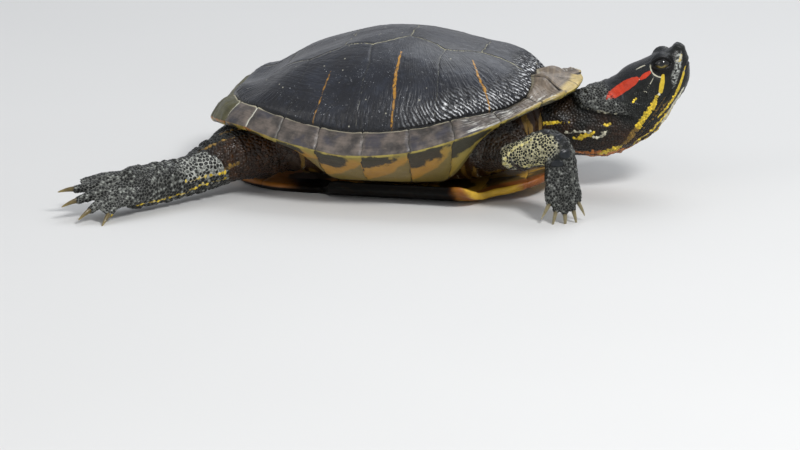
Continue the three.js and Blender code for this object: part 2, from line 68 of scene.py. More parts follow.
# ---------------------------------------------------------------- driving sizes
SHELL_LENGTH = 200
SHELL_WIDTH = 148
SHELL_HEIGHT = 83.8
SHELL_BACK_BROADER = 0.06
SHELL_OUTLINE_POWER = 2.25
SHELL_WALL = 5
DOME_CENTRE_X = 8
BRIDGE_LIP_HEIGHT = 13
PLASTRON_THICKNESS = 4.2
WING_RISE = BRIDGE_LIP_HEIGHT - PLASTRON_THICKNESS - 0.35
PLASTRON_FRONT_RISE = 10
HEAD_PITCH = 45
HEAD_YAW = 8
HEAD_AT = np.array([148.5, 10.35, 67.1])
EYE_RADIUS = 5.6
EYE_AT = np.array([-1.8, 7.4, 6.4])
EYE_FLATTENING = 0.92
SKIN_INSET = 0.35  # how far the skin lies inside the flesh solids, for the scales
SKIN_VOXEL = 0.8

shell_low, shell_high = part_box("carapace")
MILLIMETRE = (shell_high.x - shell_low.x) / SHELL_LENGTH
SHELL_MIDDLE = np.array([(shell_low.x + shell_high.x) / 2, (shell_low.y + shell_high.y) / 2, 0])


def to_metres(points):
    return np.asarray(points) * MILLIMETRE + SHELL_MIDDLE


def to_millimetres(points):
    return (np.asarray(points) - SHELL_MIDDLE) / MILLIMETRE


# ---------------------------------------------------------------- small mathematics
def unit(vectors):
    return vectors / np.maximum(np.linalg.norm(vectors, axis=-1, keepdims=True), 1e-9)


def lerp(a, b, share):
    return a + (b - a) * share


def smooth(value, low, high):
    share = np.clip((value - low) / (high - low), 0, 1)
    return share * share * (3 - 2 * share)


def norms(vectors):
    return np.linalg.norm(vectors, axis=1)


def reach_along(path):
    """How far each point of a path is from its start."""
    return np.concatenate([[0], np.cumsum(norms(np.diff(path, axis=0)))])


def turns(count, start=0):
    """Angles spread evenly round a circle."""
    return 2 * np.pi * (np.arange(count) + start) / count


def bent_to(power, x):
    """A cosine or a sine, changed so that a circle becomes an oval of a power."""
    return np.sign(x) * np.abs(x) ** (2 / power)


def hump(distance, width):
    """1 where the distance is 0, and soon 0 beyond the width."""
    return np.exp(-((distance / width) ** 2))


def profile(pairs):
    """A smooth curve through (place, value) pairs, level at both ends."""
    places, values = np.array(pairs, float).T
    slopes = np.zeros(len(places))
    slopes[1:-1] = (values[2:] - values[:-2]) / (places[2:] - places[:-2])

    def curve(at):
        at = np.clip(at, places[0], places[-1])
        i = np.clip(np.searchsorted(places, at) - 1, 0, len(places) - 2)
        width = places[i + 1] - places[i]
        t = (at - places[i]) / width
        a = 2 * t**3 - 3 * t**2 + 1
        b = t**3 - 2 * t**2 + t
        c = t**3 - t**2
        return a * values[i] + (1 - a) * values[i + 1] + width * (b * slopes[i] + c * slopes[i + 1])

    return curve


def smooth_path(points):
    """A centripetal Catmull-Rom path through points, each of which may be a whole row of points."""
    points = np.asarray(points, float)
    p = np.concatenate([[2 * points[0] - points[1]], points, [2 * points[-1] - points[-2]]])

    def at(k):
        i = int(min(max(math.floor(k), 0), len(points) - 2))
        w = k - i
        p0, p1, p2, p3 = p[i : i + 4]
        step = lambda a, b: np.sqrt(np.linalg.norm(b - a, axis=-1, keepdims=True))
        d0, d1, d2 = step(p0, p1), step(p1, p2), step(p2, p3)
        m1 = ((p1 - p0) / d0 - (p2 - p0) / (d0 + d1) + (p2 - p1) / d1) * d1
        m2 = ((p2 - p1) / d1 - (p3 - p1) / (d1 + d2) + (p3 - p2) / d2) * d1
        bend = (-3 * p1 + 3 * p2 - 2 * m1 - m2) * w**2 + (2 * p1 - 2 * p2 + m1 + m2) * w**3
        return p1 + m1 * w + bend

    return at


RANDOM = np.random.default_rng(11)
NOISE_START, NOISE_LAYER = 11.3, 37.1  # so that no layer of noise is at rest at the origin, or repeats another
SHUFFLE = np.tile(RANDOM.permutation(256), 2)
GRADIENTS = unit(RANDOM.normal(size=(256, 3)))


def noise(points, size, layer=0):
    """Smooth noise from about -1 to 1, whose bumps are about size across. size may differ by axis."""
    p = np.asarray(points, float) / size + NOISE_LAYER * layer + NOISE_START
    cell = np.floor(p).astype(int)
    f = p - cell
    w = f**3 * (f * (f * 6 - 15) + 10)
    total = np.zeros(len(p))
    for corner in np.ndindex(2, 2, 2):
        c = (cell + corner) & 255
        i = SHUFFLE[(SHUFFLE[(SHUFFLE[c[:, 0]] + c[:, 1]) & 255] + c[:, 2]) & 255]
        share = np.prod(np.where(corner, w, 1 - w), axis=1)
        total += share * np.einsum("ij,ij->i", GRADIENTS[i], f - corner)
    return 1.7 * total


def rough_noise(points, size, layer=0):
    """Noise with smaller bumps on its bumps."""
    return noise(points, size, layer) + 0.5 * noise(points, size / 2.1, layer + 5)


def ridges(points, size, layer=0):
    """Narrow crests from 0 to 1."""
    return 1 - np.minimum(1, 2.6 * np.abs(noise(points, size, layer)))


def distance_to_line(points, line):
    """How far points lie from a broken line, and how far along it the nearest spot is, from 0 to 1."""
    line = np.asarray(line, float)
    starts = reach_along(line)
    best = np.full(len(points), np.inf)
    along = np.zeros(len(points))
    for a, b, long, start in zip(line[:-1], line[1:], norms(np.diff(line, axis=0)), starts):
        share = np.clip((points - a) @ (b - a) / long**2, 0, 1)
        far = norms(points - a - share[:, None] * (b - a))
        nearer = far < best
        best = np.where(nearer, far, best)
        along = np.where(nearer, (start + share * long) / starts[-1], along)
    return best, along


# ---------------------------------------------------------------- meshes
def ring_faces(rows, columns, looped=False):
    """Quads over rows of points that close on themselves. looped joins the last row to the first."""
    r = np.arange(rows if looped else rows - 1)[:, None]
    c = np.arange(columns)[None, :]
    here, there = r * columns, ((r + 1) % rows) * columns
    beside = (c + 1) % columns
    return np.stack([here + c, here + beside, there + beside, there + c], -1).reshape(-1, 4)


def fan_faces(pole, first, columns):
    c = np.arange(columns)
    return np.stack([np.full(columns, pole), first + c, first + (c + 1) % columns], -1)


def capped_faces(points, rows, columns, split=False):
    """Faces over rows of points, closed at both ends by the last two points. split cuts the quads in two."""
    sides, last = ring_faces(rows, columns), len(points)
    ends = [
        fan_faces(last - 2, 0, columns)[:, ::-1],
        fan_faces(last - 1, (rows - 1) * columns, columns),
    ]
    return facing_out(points, [as_triangles(sides) if split else sides, *ends])


def as_triangles(faces):
    if faces.shape[1] == 3:
        return faces
    return np.concatenate([faces[:, [0, 1, 2]], faces[:, [0, 2, 3]]])


def facing_out(points, face_groups):
    """The same faces, turned over if the closed surface is inside out."""
    triangles = np.concatenate([as_triangles(f) for f in face_groups])
    a, b, c = (points[triangles[:, k]] for k in range(3))
    volume = np.einsum("ij,ij->i", a, np.cross(b, c)).sum()
    return [f[:, ::-1] if volume < 0 else f for f in face_groups]


def normals_of(points, face_groups):
    triangles = np.concatenate([as_triangles(f) for f in face_groups])
    a, b, c = (points[triangles[:, k]] for k in range(3))
    across = np.cross(b - a, c - a)
    total = np.stack(
        [sum(np.bincount(triangles[:, k], across[:, axis], len(points)) for k in range(3)) for axis in range(3)],
        axis=1,
    )
    return unit(total)


def make_mesh(name, points, face_groups):
    mesh = bpy.data.meshes.new(name)
    mesh.vertices.add(len(points))
    mesh.vertices.foreach_set("co", to_metres(points).astype(np.float32).ravel())
    loops = np.concatenate([f.ravel() for f in face_groups])
    sizes = np.concatenate([np.full(len(f), f.shape[1]) for f in face_groups])
    mesh.loops.add(len(loops))
    mesh.loops.foreach_set("vertex_index", loops.astype(np.int32))
    mesh.polygons.add(len(sizes))
    mesh.polygons.foreach_set("loop_start", np.concatenate([[0], np.cumsum(sizes)[:-1]]).astype(np.int32))
    mesh.polygons.foreach_set("use_smooth", np.ones(len(sizes), bool))
    mesh.update(calc_edges=True)
    return mesh


def add_object(name, mesh):
    piece = bpy.data.objects.new(name, mesh)
    bpy.context.scene.collection.objects.link(piece)
    return piece


def mark(mesh, marks):
    """Stores a value or a direction for each point, for the materials to read."""
    for name, values in marks.items():
        values = np.asarray(values, np.float32)
        if values.ndim == 1:
            mesh.attributes.new(name, "FLOAT", "POINT").data.foreach_set("value", values)
        else:
            mesh.attributes.new(name, "FLOAT_VECTOR", "POINT").data.foreach_set("vector", values.ravel())


def build(name, points, face_groups, marks, fillers={}):
    """A piece with its marks. A mark given for the first points only has its filler, or 0, at the rest."""
    mesh = make_mesh(name, points, face_groups)
    for key, values in marks.items():
        values = np.asarray(values, float)
        rest = np.full((len(points) - len(values), *values.shape[1:]), float(fillers.get(key, 0)))
        mark(mesh, {key: np.concatenate([values, rest])})
    return add_object(name, mesh)


def finish_piece(piece, material, nodes=()):
    """Gives a piece its material and its body, and hides the CAD nodes that it stands for."""
    piece.data.materials.clear()
    piece.data.materials.append(material)
    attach(piece, "root")
    if nodes:
        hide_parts(*nodes)
    return piece


def read(items, key, width=3, kind=np.float32):
    """The key of all of a mesh's items, as rows of width numbers."""
    flat = np.empty(len(items) * width, kind)
    items.foreach_get(key, flat)
    return flat.reshape(-1, width)


def points_of(mesh):
    return to_millimetres(read(mesh.vertices, "co").astype(float))


# ---------------------------------------------------------------- material nodes
def sums(operation, turned=False):
    """A method that adds a Math node. turned puts the other value first."""

    def work(self, other=None):
        values = [self] if other is None else [other, self] if turned else [self, other]
        return self.paint.math(operation, *values)

    return work


class Out:
    """A node's output. Sums with it add Math nodes to its paint."""

    __add__, __radd__ = sums("ADD"), sums("ADD", True)
    __sub__, __rsub__ = sums("SUBTRACT"), sums("SUBTRACT", True)
    __mul__, __rmul__ = sums("MULTIPLY"), sums("MULTIPLY", True)
    __pow__, __abs__ = sums("POWER"), sums("ABSOLUTE")

    def __init__(self, paint, socket):
        self.paint, self.socket = paint, socket


class Paint:
    """The nodes of a material or a world, built up from small pieces: each method adds some, and gives the output."""

    def __init__(self, name, kind="materials"):
        self.owner = getattr(bpy.data, kind).new(name)
        self.owner.use_nodes = True
        self.tree = self.owner.node_tree

    def node(self, kind, inputs=(), output=0, **settings):
        node = self.tree.nodes.new("ShaderNode" + kind)
        for key, value in settings.items():
            setattr(node, key, value)
        for key, value in dict(inputs).items():
            self.feed(node.inputs[key], value)
        return Out(self, node.outputs[output])

    def feed(self, socket, value):
        """Gives a socket another node's output, a number, a colour or a colour's hexadecimal text."""
        if isinstance(value, Out):
            self.tree.links.new(value.socket, socket)
        elif socket.type == "RGBA":
            socket.default_value = (*(rgb(value) if isinstance(value, str) else value), 1)
        else:
            socket.default_value = value

    def value(self, name):
        return self.node("Attribute", output="Fac", attribute_name=name)

    def values(self, names):
        return [self.value(name) for name in names.split()]

    def vector(self, name):
        return self.node("Attribute", output="Vector", attribute_name=name)

    def place(self):
        """Where the surface is, in metres, in the frame that the object keeps."""
        return self.node("TexCoord", output="Object")

    def axis(self, i, of=None):
        return self.node("SeparateXYZ", {0: of or self.place()}, i)

    def noise(self, size, detail=3, rough=0.55, stretch=None):
        """Cloudy noise from 0 to 1, whose clouds are size millimetres across."""
        at = self.place()
        if stretch:
            at = self.node("VectorMath", {0: at, 1: stretch}, operation="MULTIPLY")
        settings = {"Vector": at, "Scale": 1 / (size * MILLIMETRE), "Detail": detail, "Roughness": rough}
        return self.node("TexNoise", settings)

    def grain(self, at, stretch, detail=3.0, rough=0.5):
        """Noise over a vector of the mesh's own, stretched by its axes."""
        at = self.node("VectorMath", {0: at, 1: stretch}, operation="MULTIPLY")
        return self.node("TexNoise", {"Vector": at, "Scale": 1.0, "Detail": detail, "Roughness": rough})

    def cells(self, size, feature="F1"):
        settings = {"Vector": self.place(), "Scale": 1 / (size * MILLIMETRE)}
        return self.node("TexVoronoi", settings, "Distance", feature=feature)

    def math(self, operation, *values):
        return self.node("Math", dict(enumerate(values)), operation=operation)

    def step(self, value, low, high):
        """0 below low, 1 above high, and smooth between."""
        inputs = {"Value": value, "From Min": low, "From Max": high}
        return self.node("MapRange", inputs, interpolation_type="SMOOTHSTEP")

    def between(self, value, low, high):
        """The value, which goes from 0 to 1, spread over low to high."""
        return self.node("MapRange", {"Value": value, "To Min": low, "To Max": high})

    def mix(self, share, a, b):
        inputs = {0: share, 6: a, 7: b}
        return self.node("Mix", inputs, 2, data_type="RGBA")

    def shade(self, colour, amount):
        """The colour made lighter or darker: amount 1 leaves it as it is."""
        grey = self.node("CombineXYZ", {0: amount, 1: amount, 2: amount})
        return self.node("Mix", {0: 1.0, 6: colour, 7: grey}, 2, data_type="RGBA", blend_type="MULTIPLY")

    def bump(self, height, depth, strength=1.0):
        """Relief whose height, from 0 to 1, stands for depth millimetres."""
        return self.node("Bump", {"Height": height, "Distance": depth * MILLIMETRE, "Strength": strength})

    def done(self, colour, roughness, normal=None, specular=0.5, coat=0.0, coat_roughness=0.1):
        values = {
            "Base Color": colour, "Roughness": roughness, "Normal": normal, "Specular IOR Level": specular,
            "Coat Weight": coat, "Coat Roughness": coat_roughness,
        }
        for name, value in values.items():
            if value is not None:
                self.feed(self.tree.nodes["Principled BSDF"].inputs[name], value)
        return self.owner


def rgb(text):
    """A colour written as a hexadecimal sRGB number, in the linear values that shaders take."""
    parts = [int(text[i : i + 2], 16) / 255 for i in (0, 2, 4)]
    return tuple(p / 12.92 if p <= 0.04045 else ((p + 0.055) / 1.055) ** 2.4 for p in parts)


# ---------------------------------------------------------------- the carapace's form
# t is the angle round the shell in degrees: 0 at the front, 90 at the left side, 180 at the rear.
rim_height = profile([
    (0, 58.5), (31, 56), (48, 49.5), (65, 41), (80, 34), (95, 31), (110, 34.5), (133, 40.4), (147, 39.7),
    (160, 37.6), (180, 31.5),
])
marginal_width = profile([
    (0, 23.5), (8, 24.8), (17, 21), (25, 17.6), (32, 13.6), (42, 11.6), (50, 11.6), (90, 9.5), (135, 10),
    (148, 11), (160, 12.4), (180, 11.5),
])
marginal_drop = profile([
    (0, 4), (9, 4), (17, 2.4), (25, 0.6), (32, 0), (42, 0.6), (50, 2.8), (58, 5.8), (66, 8.2), (90, 10.5),
    (133, 9), (146, 9.4), (158, 11.4), (168, 11.6), (180, 11.4),
])
# How far the dome stands above or below its even curve, from the rear to the front, except at its edge.
dome_trim = profile([
    (-90, 6), (-85, 3.4), (-79, -1.8), (-72, -4.8), (-62, -4.3), (-50, -2.7), (-30, -2.2), (-10, -0.5),
    (12, -0.2), (30, -1.1), (46, -0.9), (58, 1), (66, 1.6), (75, 0.6), (84, -1),
])


TRIM_FADE = 16  # the power by which the trim dies away to the edge
LIP_INSET = (11, 17.5)  # at the ends of the shell, and on the bridges
LIP_DROP = 1.2


def wrapped(degrees):
    """The same angle from -180 to 180."""
    return (degrees + 180) % 360 - 180


def folded(t):
    """The angle from the front, alike on both sides."""
    return np.abs(wrapped(t))


def marginal_bulge(t):
    return 0.5 + 2.5 * smooth(folded(t), 135, 160)


def bridge_share(t):
    """1 where the marginals come down to the plastron as bridges, and 0 at the ends of the shell."""
    return smooth(folded(t), 47, 70) * (1 - smooth(folded(t), 99, 119))


def rim_point(t):
    """The shell's sharp outer edge."""
    a = np.radians(t)
    broader = 1 - SHELL_BACK_BROADER * (np.cos(a) ** 3 + np.cos(a))
    x = SHELL_LENGTH / 2 * bent_to(SHELL_OUTLINE_POWER, np.cos(a))
    y = SHELL_WIDTH / 2 * bent_to(SHELL_OUTLINE_POWER, np.sin(a)) * broader
    return np.stack([x, y, rim_height(folded(t))], -1)


def inside_rim(t, inset, rise):
    """A point inside the rim by inset, and above it by rise."""
    along = rim_point(t + 2) - rim_point(t - 2)
    outward = unit(np.stack([along[..., 1], -along[..., 0], np.zeros_like(t)], -1))
    point = rim_point(t) - outward * np.asarray(inset)[..., None]
    point[..., 2] += rise
    return point


def dome_point(t, share, wall=0):
    """The dome at a share of the way out to the marginals, or its inner face."""
    t, share = np.broadcast_arrays(np.asarray(t, float), np.asarray(share, float))
    facing, sideways = np.cos(np.radians(t)), np.sin(np.radians(t)) ** 2
    power = 1.7 + 0.05 * facing + 0.4 * sideways
    bend = 0.72 - 0.02 * facing - 0.1 * sideways
    edge = inside_rim(t, marginal_width(folded(t)) + wall, marginal_drop(folded(t)) - 0.8 * wall)
    height = edge[..., 2] + (SHELL_HEIGHT - wall - edge[..., 2]) * (1 - share**power) ** bend
    x = lerp(DOME_CENTRE_X, edge[..., 0], share)
    return np.stack([x, edge[..., 1] * share, height + dome_trim(x) * (1 - share**TRIM_FADE)], -1)


def lip_point(t, rise):
    """The free lower edge of the marginals, raised by rise."""
    share = bridge_share(t)
    height = lerp(rim_height(folded(t)) - LIP_DROP, BRIDGE_LIP_HEIGHT, share)
    return inside_rim(t, lerp(*LIP_INSET, share), height - rim_height(folded(t)) + rise)


# ---------------------------------------------------------------- the dome: vertebral and costal scutes
DOME_COLUMNS = 800
DOME_ROWS = 118
DOME_SAMPLES = 400  # on each line from the top to the edge, to space the rows evenly
DOME_TUCK = (1.6, 2.6)  # how far its edge goes out under the marginals, and down
DOME_INNER_ROWS = (0.985, 0.9, 0.72, 0.45, 0.15)  # shares of the way out
GROWTH_PITCH = 2.6
# Seams in plan. x and |y|; the zigzag is the edge of the vertebral scutes.
VERTEBRAL_EDGE = [
    (86, 17), (76, 13.8), (63, 14.8), (49, 12.6), (39, 18), (31, 20.8), (25, 17.2), (10, 12), (-1, 20), (-8.3, 23.6),
    (-14, 21.2), (-24.5, 17.8), (-27, 21.5), (-41.5, 28.5), (-51, 24), (-60, 19.5), (-74, 20), (-92, 27),
]
VERTEBRAL_SEAMS = [(49, 12.6), (10, 12), (-24.5, 17.8), (-60, 19.5)]
COSTAL_SEAMS = [
    [(31, 20.8), (29.9, 32.4), (31.8, 45.2), (35, 80)],
    [(-8.3, 23.6), (-6.6, 38.4), (-7.5, 46), (-8.0, 54), (-8.5, 80)],
    [(-41.5, 28.5), (-41.3, 37), (-44.7, 52.5), (-49, 80)],
]
# Orange streaks left of the younger pattern, on the second, first and third costals.
STREAKS = [
    [(8.8, 31, 0), (9.3, 48, 0), (10.4, 57, 0), (10.8, 68, 0)],
    [(46.4, 24.5, 0), (51.3, 36, 0), (57.5, 43, 0), (62, 49, 0)],
    [(-27, 43, 0), (-28.5, 55.5, 0), (-32, 63, 0)],
]


def wavy(plan):
    """Plan points shaken a little, so that seams aren't ruled lines."""
    flat = np.concatenate([plan, np.zeros((len(plan), 1))], 1)
    shake = np.stack([noise(flat, 9, k) + 0.5 * noise(flat, 3.5, k + 3) for k in (1, 2)], 1)
    return plan + 0.75 * shake


def dome_marks(points):
    """How far each point is from the vertebral scutes' seams and from the costals', and how deep in a streak."""
    plan = wavy(points[:, :2])
    plan[:, 1] = np.abs(plan[:, 1])
    flat = np.concatenate([plan, np.zeros((len(plan), 1))], 1)
    flatten = lambda line: [(x, y, 0) for x, y in line]
    seam = distance_to_line(flat, flatten(VERTEBRAL_EDGE))[0]
    for x, half in VERTEBRAL_SEAMS:
        seam = np.minimum(seam, distance_to_line(flat, [(x, 0, 0), (x, half, 0)])[0])
    cross = np.full(len(points), 9.0)
    for line in COSTAL_SEAMS:
        cross = np.minimum(cross, distance_to_line(flat, flatten(line))[0])
    streak = np.full(len(points), -9.0)
    for k, line in enumerate(STREAKS):
        far, along = distance_to_line(flat, line)
        width = (0.8, 0.66, 0.42)[k] * (0.35 + 0.65 * np.sin(np.pi * np.clip(along, 0.04, 0.96)) ** 0.5)
        streak = np.maximum(streak, width - far + 0.35 * noise(points, 2.2, 8 + k))
    return seam, cross, streak


def make_dome():
    t = np.arange(DOME_COLUMNS) * 360 / DOME_COLUMNS
    shares = 1 - (1 - np.linspace(0, 1, DOME_SAMPLES)) ** 2
    path = dome_point(t[None, :], shares[:, None])
    steps = np.linalg.norm(np.diff(path, axis=0), axis=-1)
    reach = np.concatenate([np.zeros((1, DOME_COLUMNS)), np.cumsum(steps, 0)])
    goals = np.linspace(0, 1, DOME_ROWS + 1)[1:]
    picked = np.stack([np.interp(goals * reach[-1, j], reach[:, j], shares) for j in range(DOME_COLUMNS)], 1)
    outer = dome_point(t[None, :], picked)
    to_edge = ((1 - goals)[:, None] * reach[-1]).ravel()
    # The dome's edge is tucked into the marginals, so that the seam never gapes.
    tucked = inside_rim(t, marginal_width(folded(t)) - DOME_TUCK[0], marginal_drop(folded(t)) - DOME_TUCK[1])[None]
    inner = dome_point(t[None, :], np.array(DOME_INNER_ROWS)[:, None], SHELL_WALL)
    inner = np.concatenate([tucked, inner])
    points = np.concatenate([outer.reshape(-1, 3), inner.reshape(-1, 3)])
    top = [[DOME_CENTRE_X, 0, SHELL_HEIGHT], [DOME_CENTRE_X, 0, SHELL_HEIGHT - SHELL_WALL]]
    points = np.concatenate([points, top])
    faces = capped_faces(points, DOME_ROWS + len(inner), DOME_COLUMNS)
    count = DOME_ROWS * DOME_COLUMNS
    skin = points[:count]
    seam, cross, streak = dome_marks(skin)
    # Coordinates in millimetres round the shell and down to the marginals, for wrinkles to follow.
    girth = np.tile(reach_along(outer[-1]), DOME_ROWS)
    low_down = smooth(to_edge, 42, 6)
    x, side = skin[:, 0], np.abs(skin[:, 1])
    costal = smooth(side, 15, 24)
    # Ribs run down to the marginals; on the rear scutes they turn and run lengthwise.
    rear = smooth(x, -2, -30) * smooth(to_edge, 7, 16)
    bent = girth + 1.6 * noise(skin, 13, 2) + 0.1 * to_edge * np.sign(x + 10) * (skin[:, 1] > 0)
    radial = ridges(np.stack([bent, to_edge, 0 * bent], 1), (2.5, 17, 9), 3)
    finer = ridges(np.stack([bent, to_edge, 0 * bent], 1), (1.5, 9, 9), 6)
    lengthwise = ridges(np.stack([x, to_edge + 1.2 * noise(skin, 11, 4), 0 * x], 1), (16, 1.9, 9), 4)
    patchy = 0.65 + 0.45 * noise(skin, 15, 7)
    foremost = 0.35 + 0.65 * smooth(x, -40, 0)
    ahead = smooth(x, 6, 40)
    band = smooth(to_edge - 5 * ahead, 17, 6) * smooth(to_edge, 0.3, 1.8)
    down = (radial + 0.5 * finer) * (0.35 * low_down + 1.1 * band) * (1 - rear) * smooth(to_edge, 0.4, 2) * foremost
    # Where the ribs stand out in relief, with a painted highlight on their crests and painted shade in their grooves.
    crest = band * (1 - rear) * (0.45 + 0.55 * ahead) * smooth(x, -62, -35)
    along = lengthwise * (0.25 + 0.75 * rear) * costal * 0.6
    relief = 0.62 * patchy * down + 0.34 * patchy * along
    relief += 0.1 * rough_noise(skin, 7, 9) + 0.05 * noise(skin, 2.4, 12)
    relief += 0.28 * hump(side, 4.5) * smooth(np.abs(x - 8), 88, 60) * (0.6 + 0.4 * np.cos((x - 8) * 0.15))
    growth = np.cos(2 * np.pi * (seam + 0.5 * noise(skin, 6, 14)) / GROWTH_PITCH) * hump(seam, 9)
    relief += 0.04 * growth - 0.32 * hump(seam, 0.5) + 0.1 * hump(seam - 2.2, 1.6)
    relief += -0.2 * hump(cross, 0.45) + 0.06 * hump(cross - 1.6, 1.2)
    relief -= 0.45 * hump(to_edge, 0.7)
    normals = normals_of(points, faces)[:count]
    points[:count] += normals * relief[:, None]
    marks = {
        "seam": seam, "cross": cross, "crest": crest, "ahead": ahead, "streak": streak, "to_edge": to_edge,
        "rear": rear, "low_down": low_down, "lie": np.stack([bent, to_edge, x], 1),
    }
    return build("carapace_dome", points, faces, marks, {"seam": 9, "cross": 9, "streak": -9, "to_edge": 9})


RIB_PITCH = 2.6


def horn_material():
    """The near-black, glossy, wrinkled horn of the dome, with painted highlights on its rib crests, painted glints, and
    painted shade in its rib grooves.
    """
    p = Paint("dome_horn")
    seam, streak, low_down, rear = p.values("seam streak low_down rear")
    cross, crest, to_edge, ahead = p.values("cross crest to_edge ahead")
    lie = p.vector("lie")
    cloud = p.noise(22, 4)
    colour = p.mix(p.step(cloud, 0.35, 0.7), "11131a", "20242e")
    colour = p.mix(p.step(p.noise(6, 5, 0.65), 0.5, 0.8) * 0.5, colour, "333946")
    colour = p.mix(p.step(p.noise(45, 2), 0.5, 0.75) * 0.35, colour, "26251a")
    down = p.grain(lie, (1 / 1.1, 1 / 9, 0.1))
    along = p.grain(lie, (0.02, 1, 1 / 9))
    wrinkle = p.node("Mix", {0: rear, 2: down, 3: along}, data_type="FLOAT")
    # Darker in the wrinkles' grooves, more so low on the dome.
    wrinkle_groove_dark = p.step(wrinkle, 0.5, 0.36) * p.between(low_down, 0.25, 0.75)
    colour = p.mix(wrinkle_groove_dark, colour, "0d0e12")
    scratches = p.noise(1.6, 4, 0.7, stretch=(0.25, 1, 1))
    colour = p.mix(p.step(scratches, 0.62, 0.72) * 0.22, colour, "8a8d90")
    # Ribs run down to the marginals. Their crests get a painted highlight, brightest at the front, and their grooves
    # painted shade.
    slant = to_edge * ahead * 0.9
    phase = p.axis(0, lie) + slant
    phase = phase * (2 * math.pi / RIB_PITCH) + p.noise(11, 4, 0.6) * 17.0
    rib = (p.math("SINE", phase) + 1.0) * 0.5
    shown = p.step(crest + p.noise(6, 4, 0.7) * 0.9, 0.72, 1.2)
    # Painted shade in the grooves between the ribs.
    colour = p.mix(shown * p.step(rib, 0.45, 0.12), colour, "08090b")
    long = p.grain(lie, (1 / 1.8, 1 / 6, 0), 4.0, 0.65)
    # Painted highlight along the rib crests, grey behind and near white at the front.
    painted_rib_highlight = p.step(rib, 0.5, 0.95) * p.step(long, 0.42, 0.62)
    painted_rib_highlight = painted_rib_highlight * p.between(ahead, 0.3, 1.0)
    painted_rib_highlight = painted_rib_highlight * p.step(to_edge + p.noise(10, 3) * 8.0, 21.0, 9.0)
    colour = p.mix(painted_rib_highlight * shown, colour, p.mix(ahead, "6f7276", "e2e4e6"))
    orange = p.mix(p.noise(2.5, 3), "85500f", "dba53a")
    broken = p.step(p.noise(2.2, 4, 0.7), 0.36, 0.5) * p.step(streak, -0.2, 0.4)
    colour = p.mix(broken * 0.9, colour, orange)
    pale = p.step(p.noise(9, 4, 0.6), 0.36, 0.56)
    thin = p.step(seam + p.noise(1.2, 2) * 0.3, 0.5, 0.22)
    dark = p.step(p.math("MINIMUM", seam, cross + 0.35), 1.0, 0.5)
    colour = p.mix(dark * 0.5, colour, "0b0c0f")
    colour = p.mix(thin * p.between(pale, 0.25, 0.95), colour, "c2bd9c")
    faint = p.step(cross + p.noise(1.2, 2) * 0.3, 0.42, 0.2)
    colour = p.mix(faint * p.between(pale, 0.05, 0.5), colour, "8d8c7e")
    colour = p.mix(p.step(to_edge, 1.3, 0.5) * 0.8, colour, "08090a")
    specks = p.step(p.cells(7), 0.085, 0.05) * 0.6
    colour = p.mix(specks, colour, "b9b6a4")
    # Painted glints: small near-white specks of highlight in scattered patches over the dome.
    painted_glints = p.step(p.noise(1.0, 4, 0.72), 0.63, 0.7) * p.step(p.noise(17, 3), 0.47, 0.62)
    colour = p.mix(painted_glints * 0.75, colour, "d9dde2")
    pits = p.step(p.cells(2.6), 0.0, 0.2)
    height = wrinkle * p.between(low_down, 0.45, 1.0) + pits * 0.12
    height = height + rib * shown * 0.7
    height = height + p.noise(0.9, 3, 0.6) * 0.16
    height = height + p.step(seam, 0.1, 0.6) * 0.5
    roughness = p.between(p.noise(9, 5, 0.7), 0.2, 0.52)
    return p.done(colour, roughness, p.bump(height, 0.5, 0.95), specular=0.42, coat=0.14, coat_roughness=0.12)


# ---------------------------------------------------------------- the ring of marginal scutes
RIM_COLUMNS = 1000
MARGINAL_GROWTH_PITCH = 2.3
MARGINAL_SEAMS = [4.5, 17.5, 32.2, 50, 66.2, 79.6, 91.4, 104.2, 118, 131.8, 145.5, 160, 180]


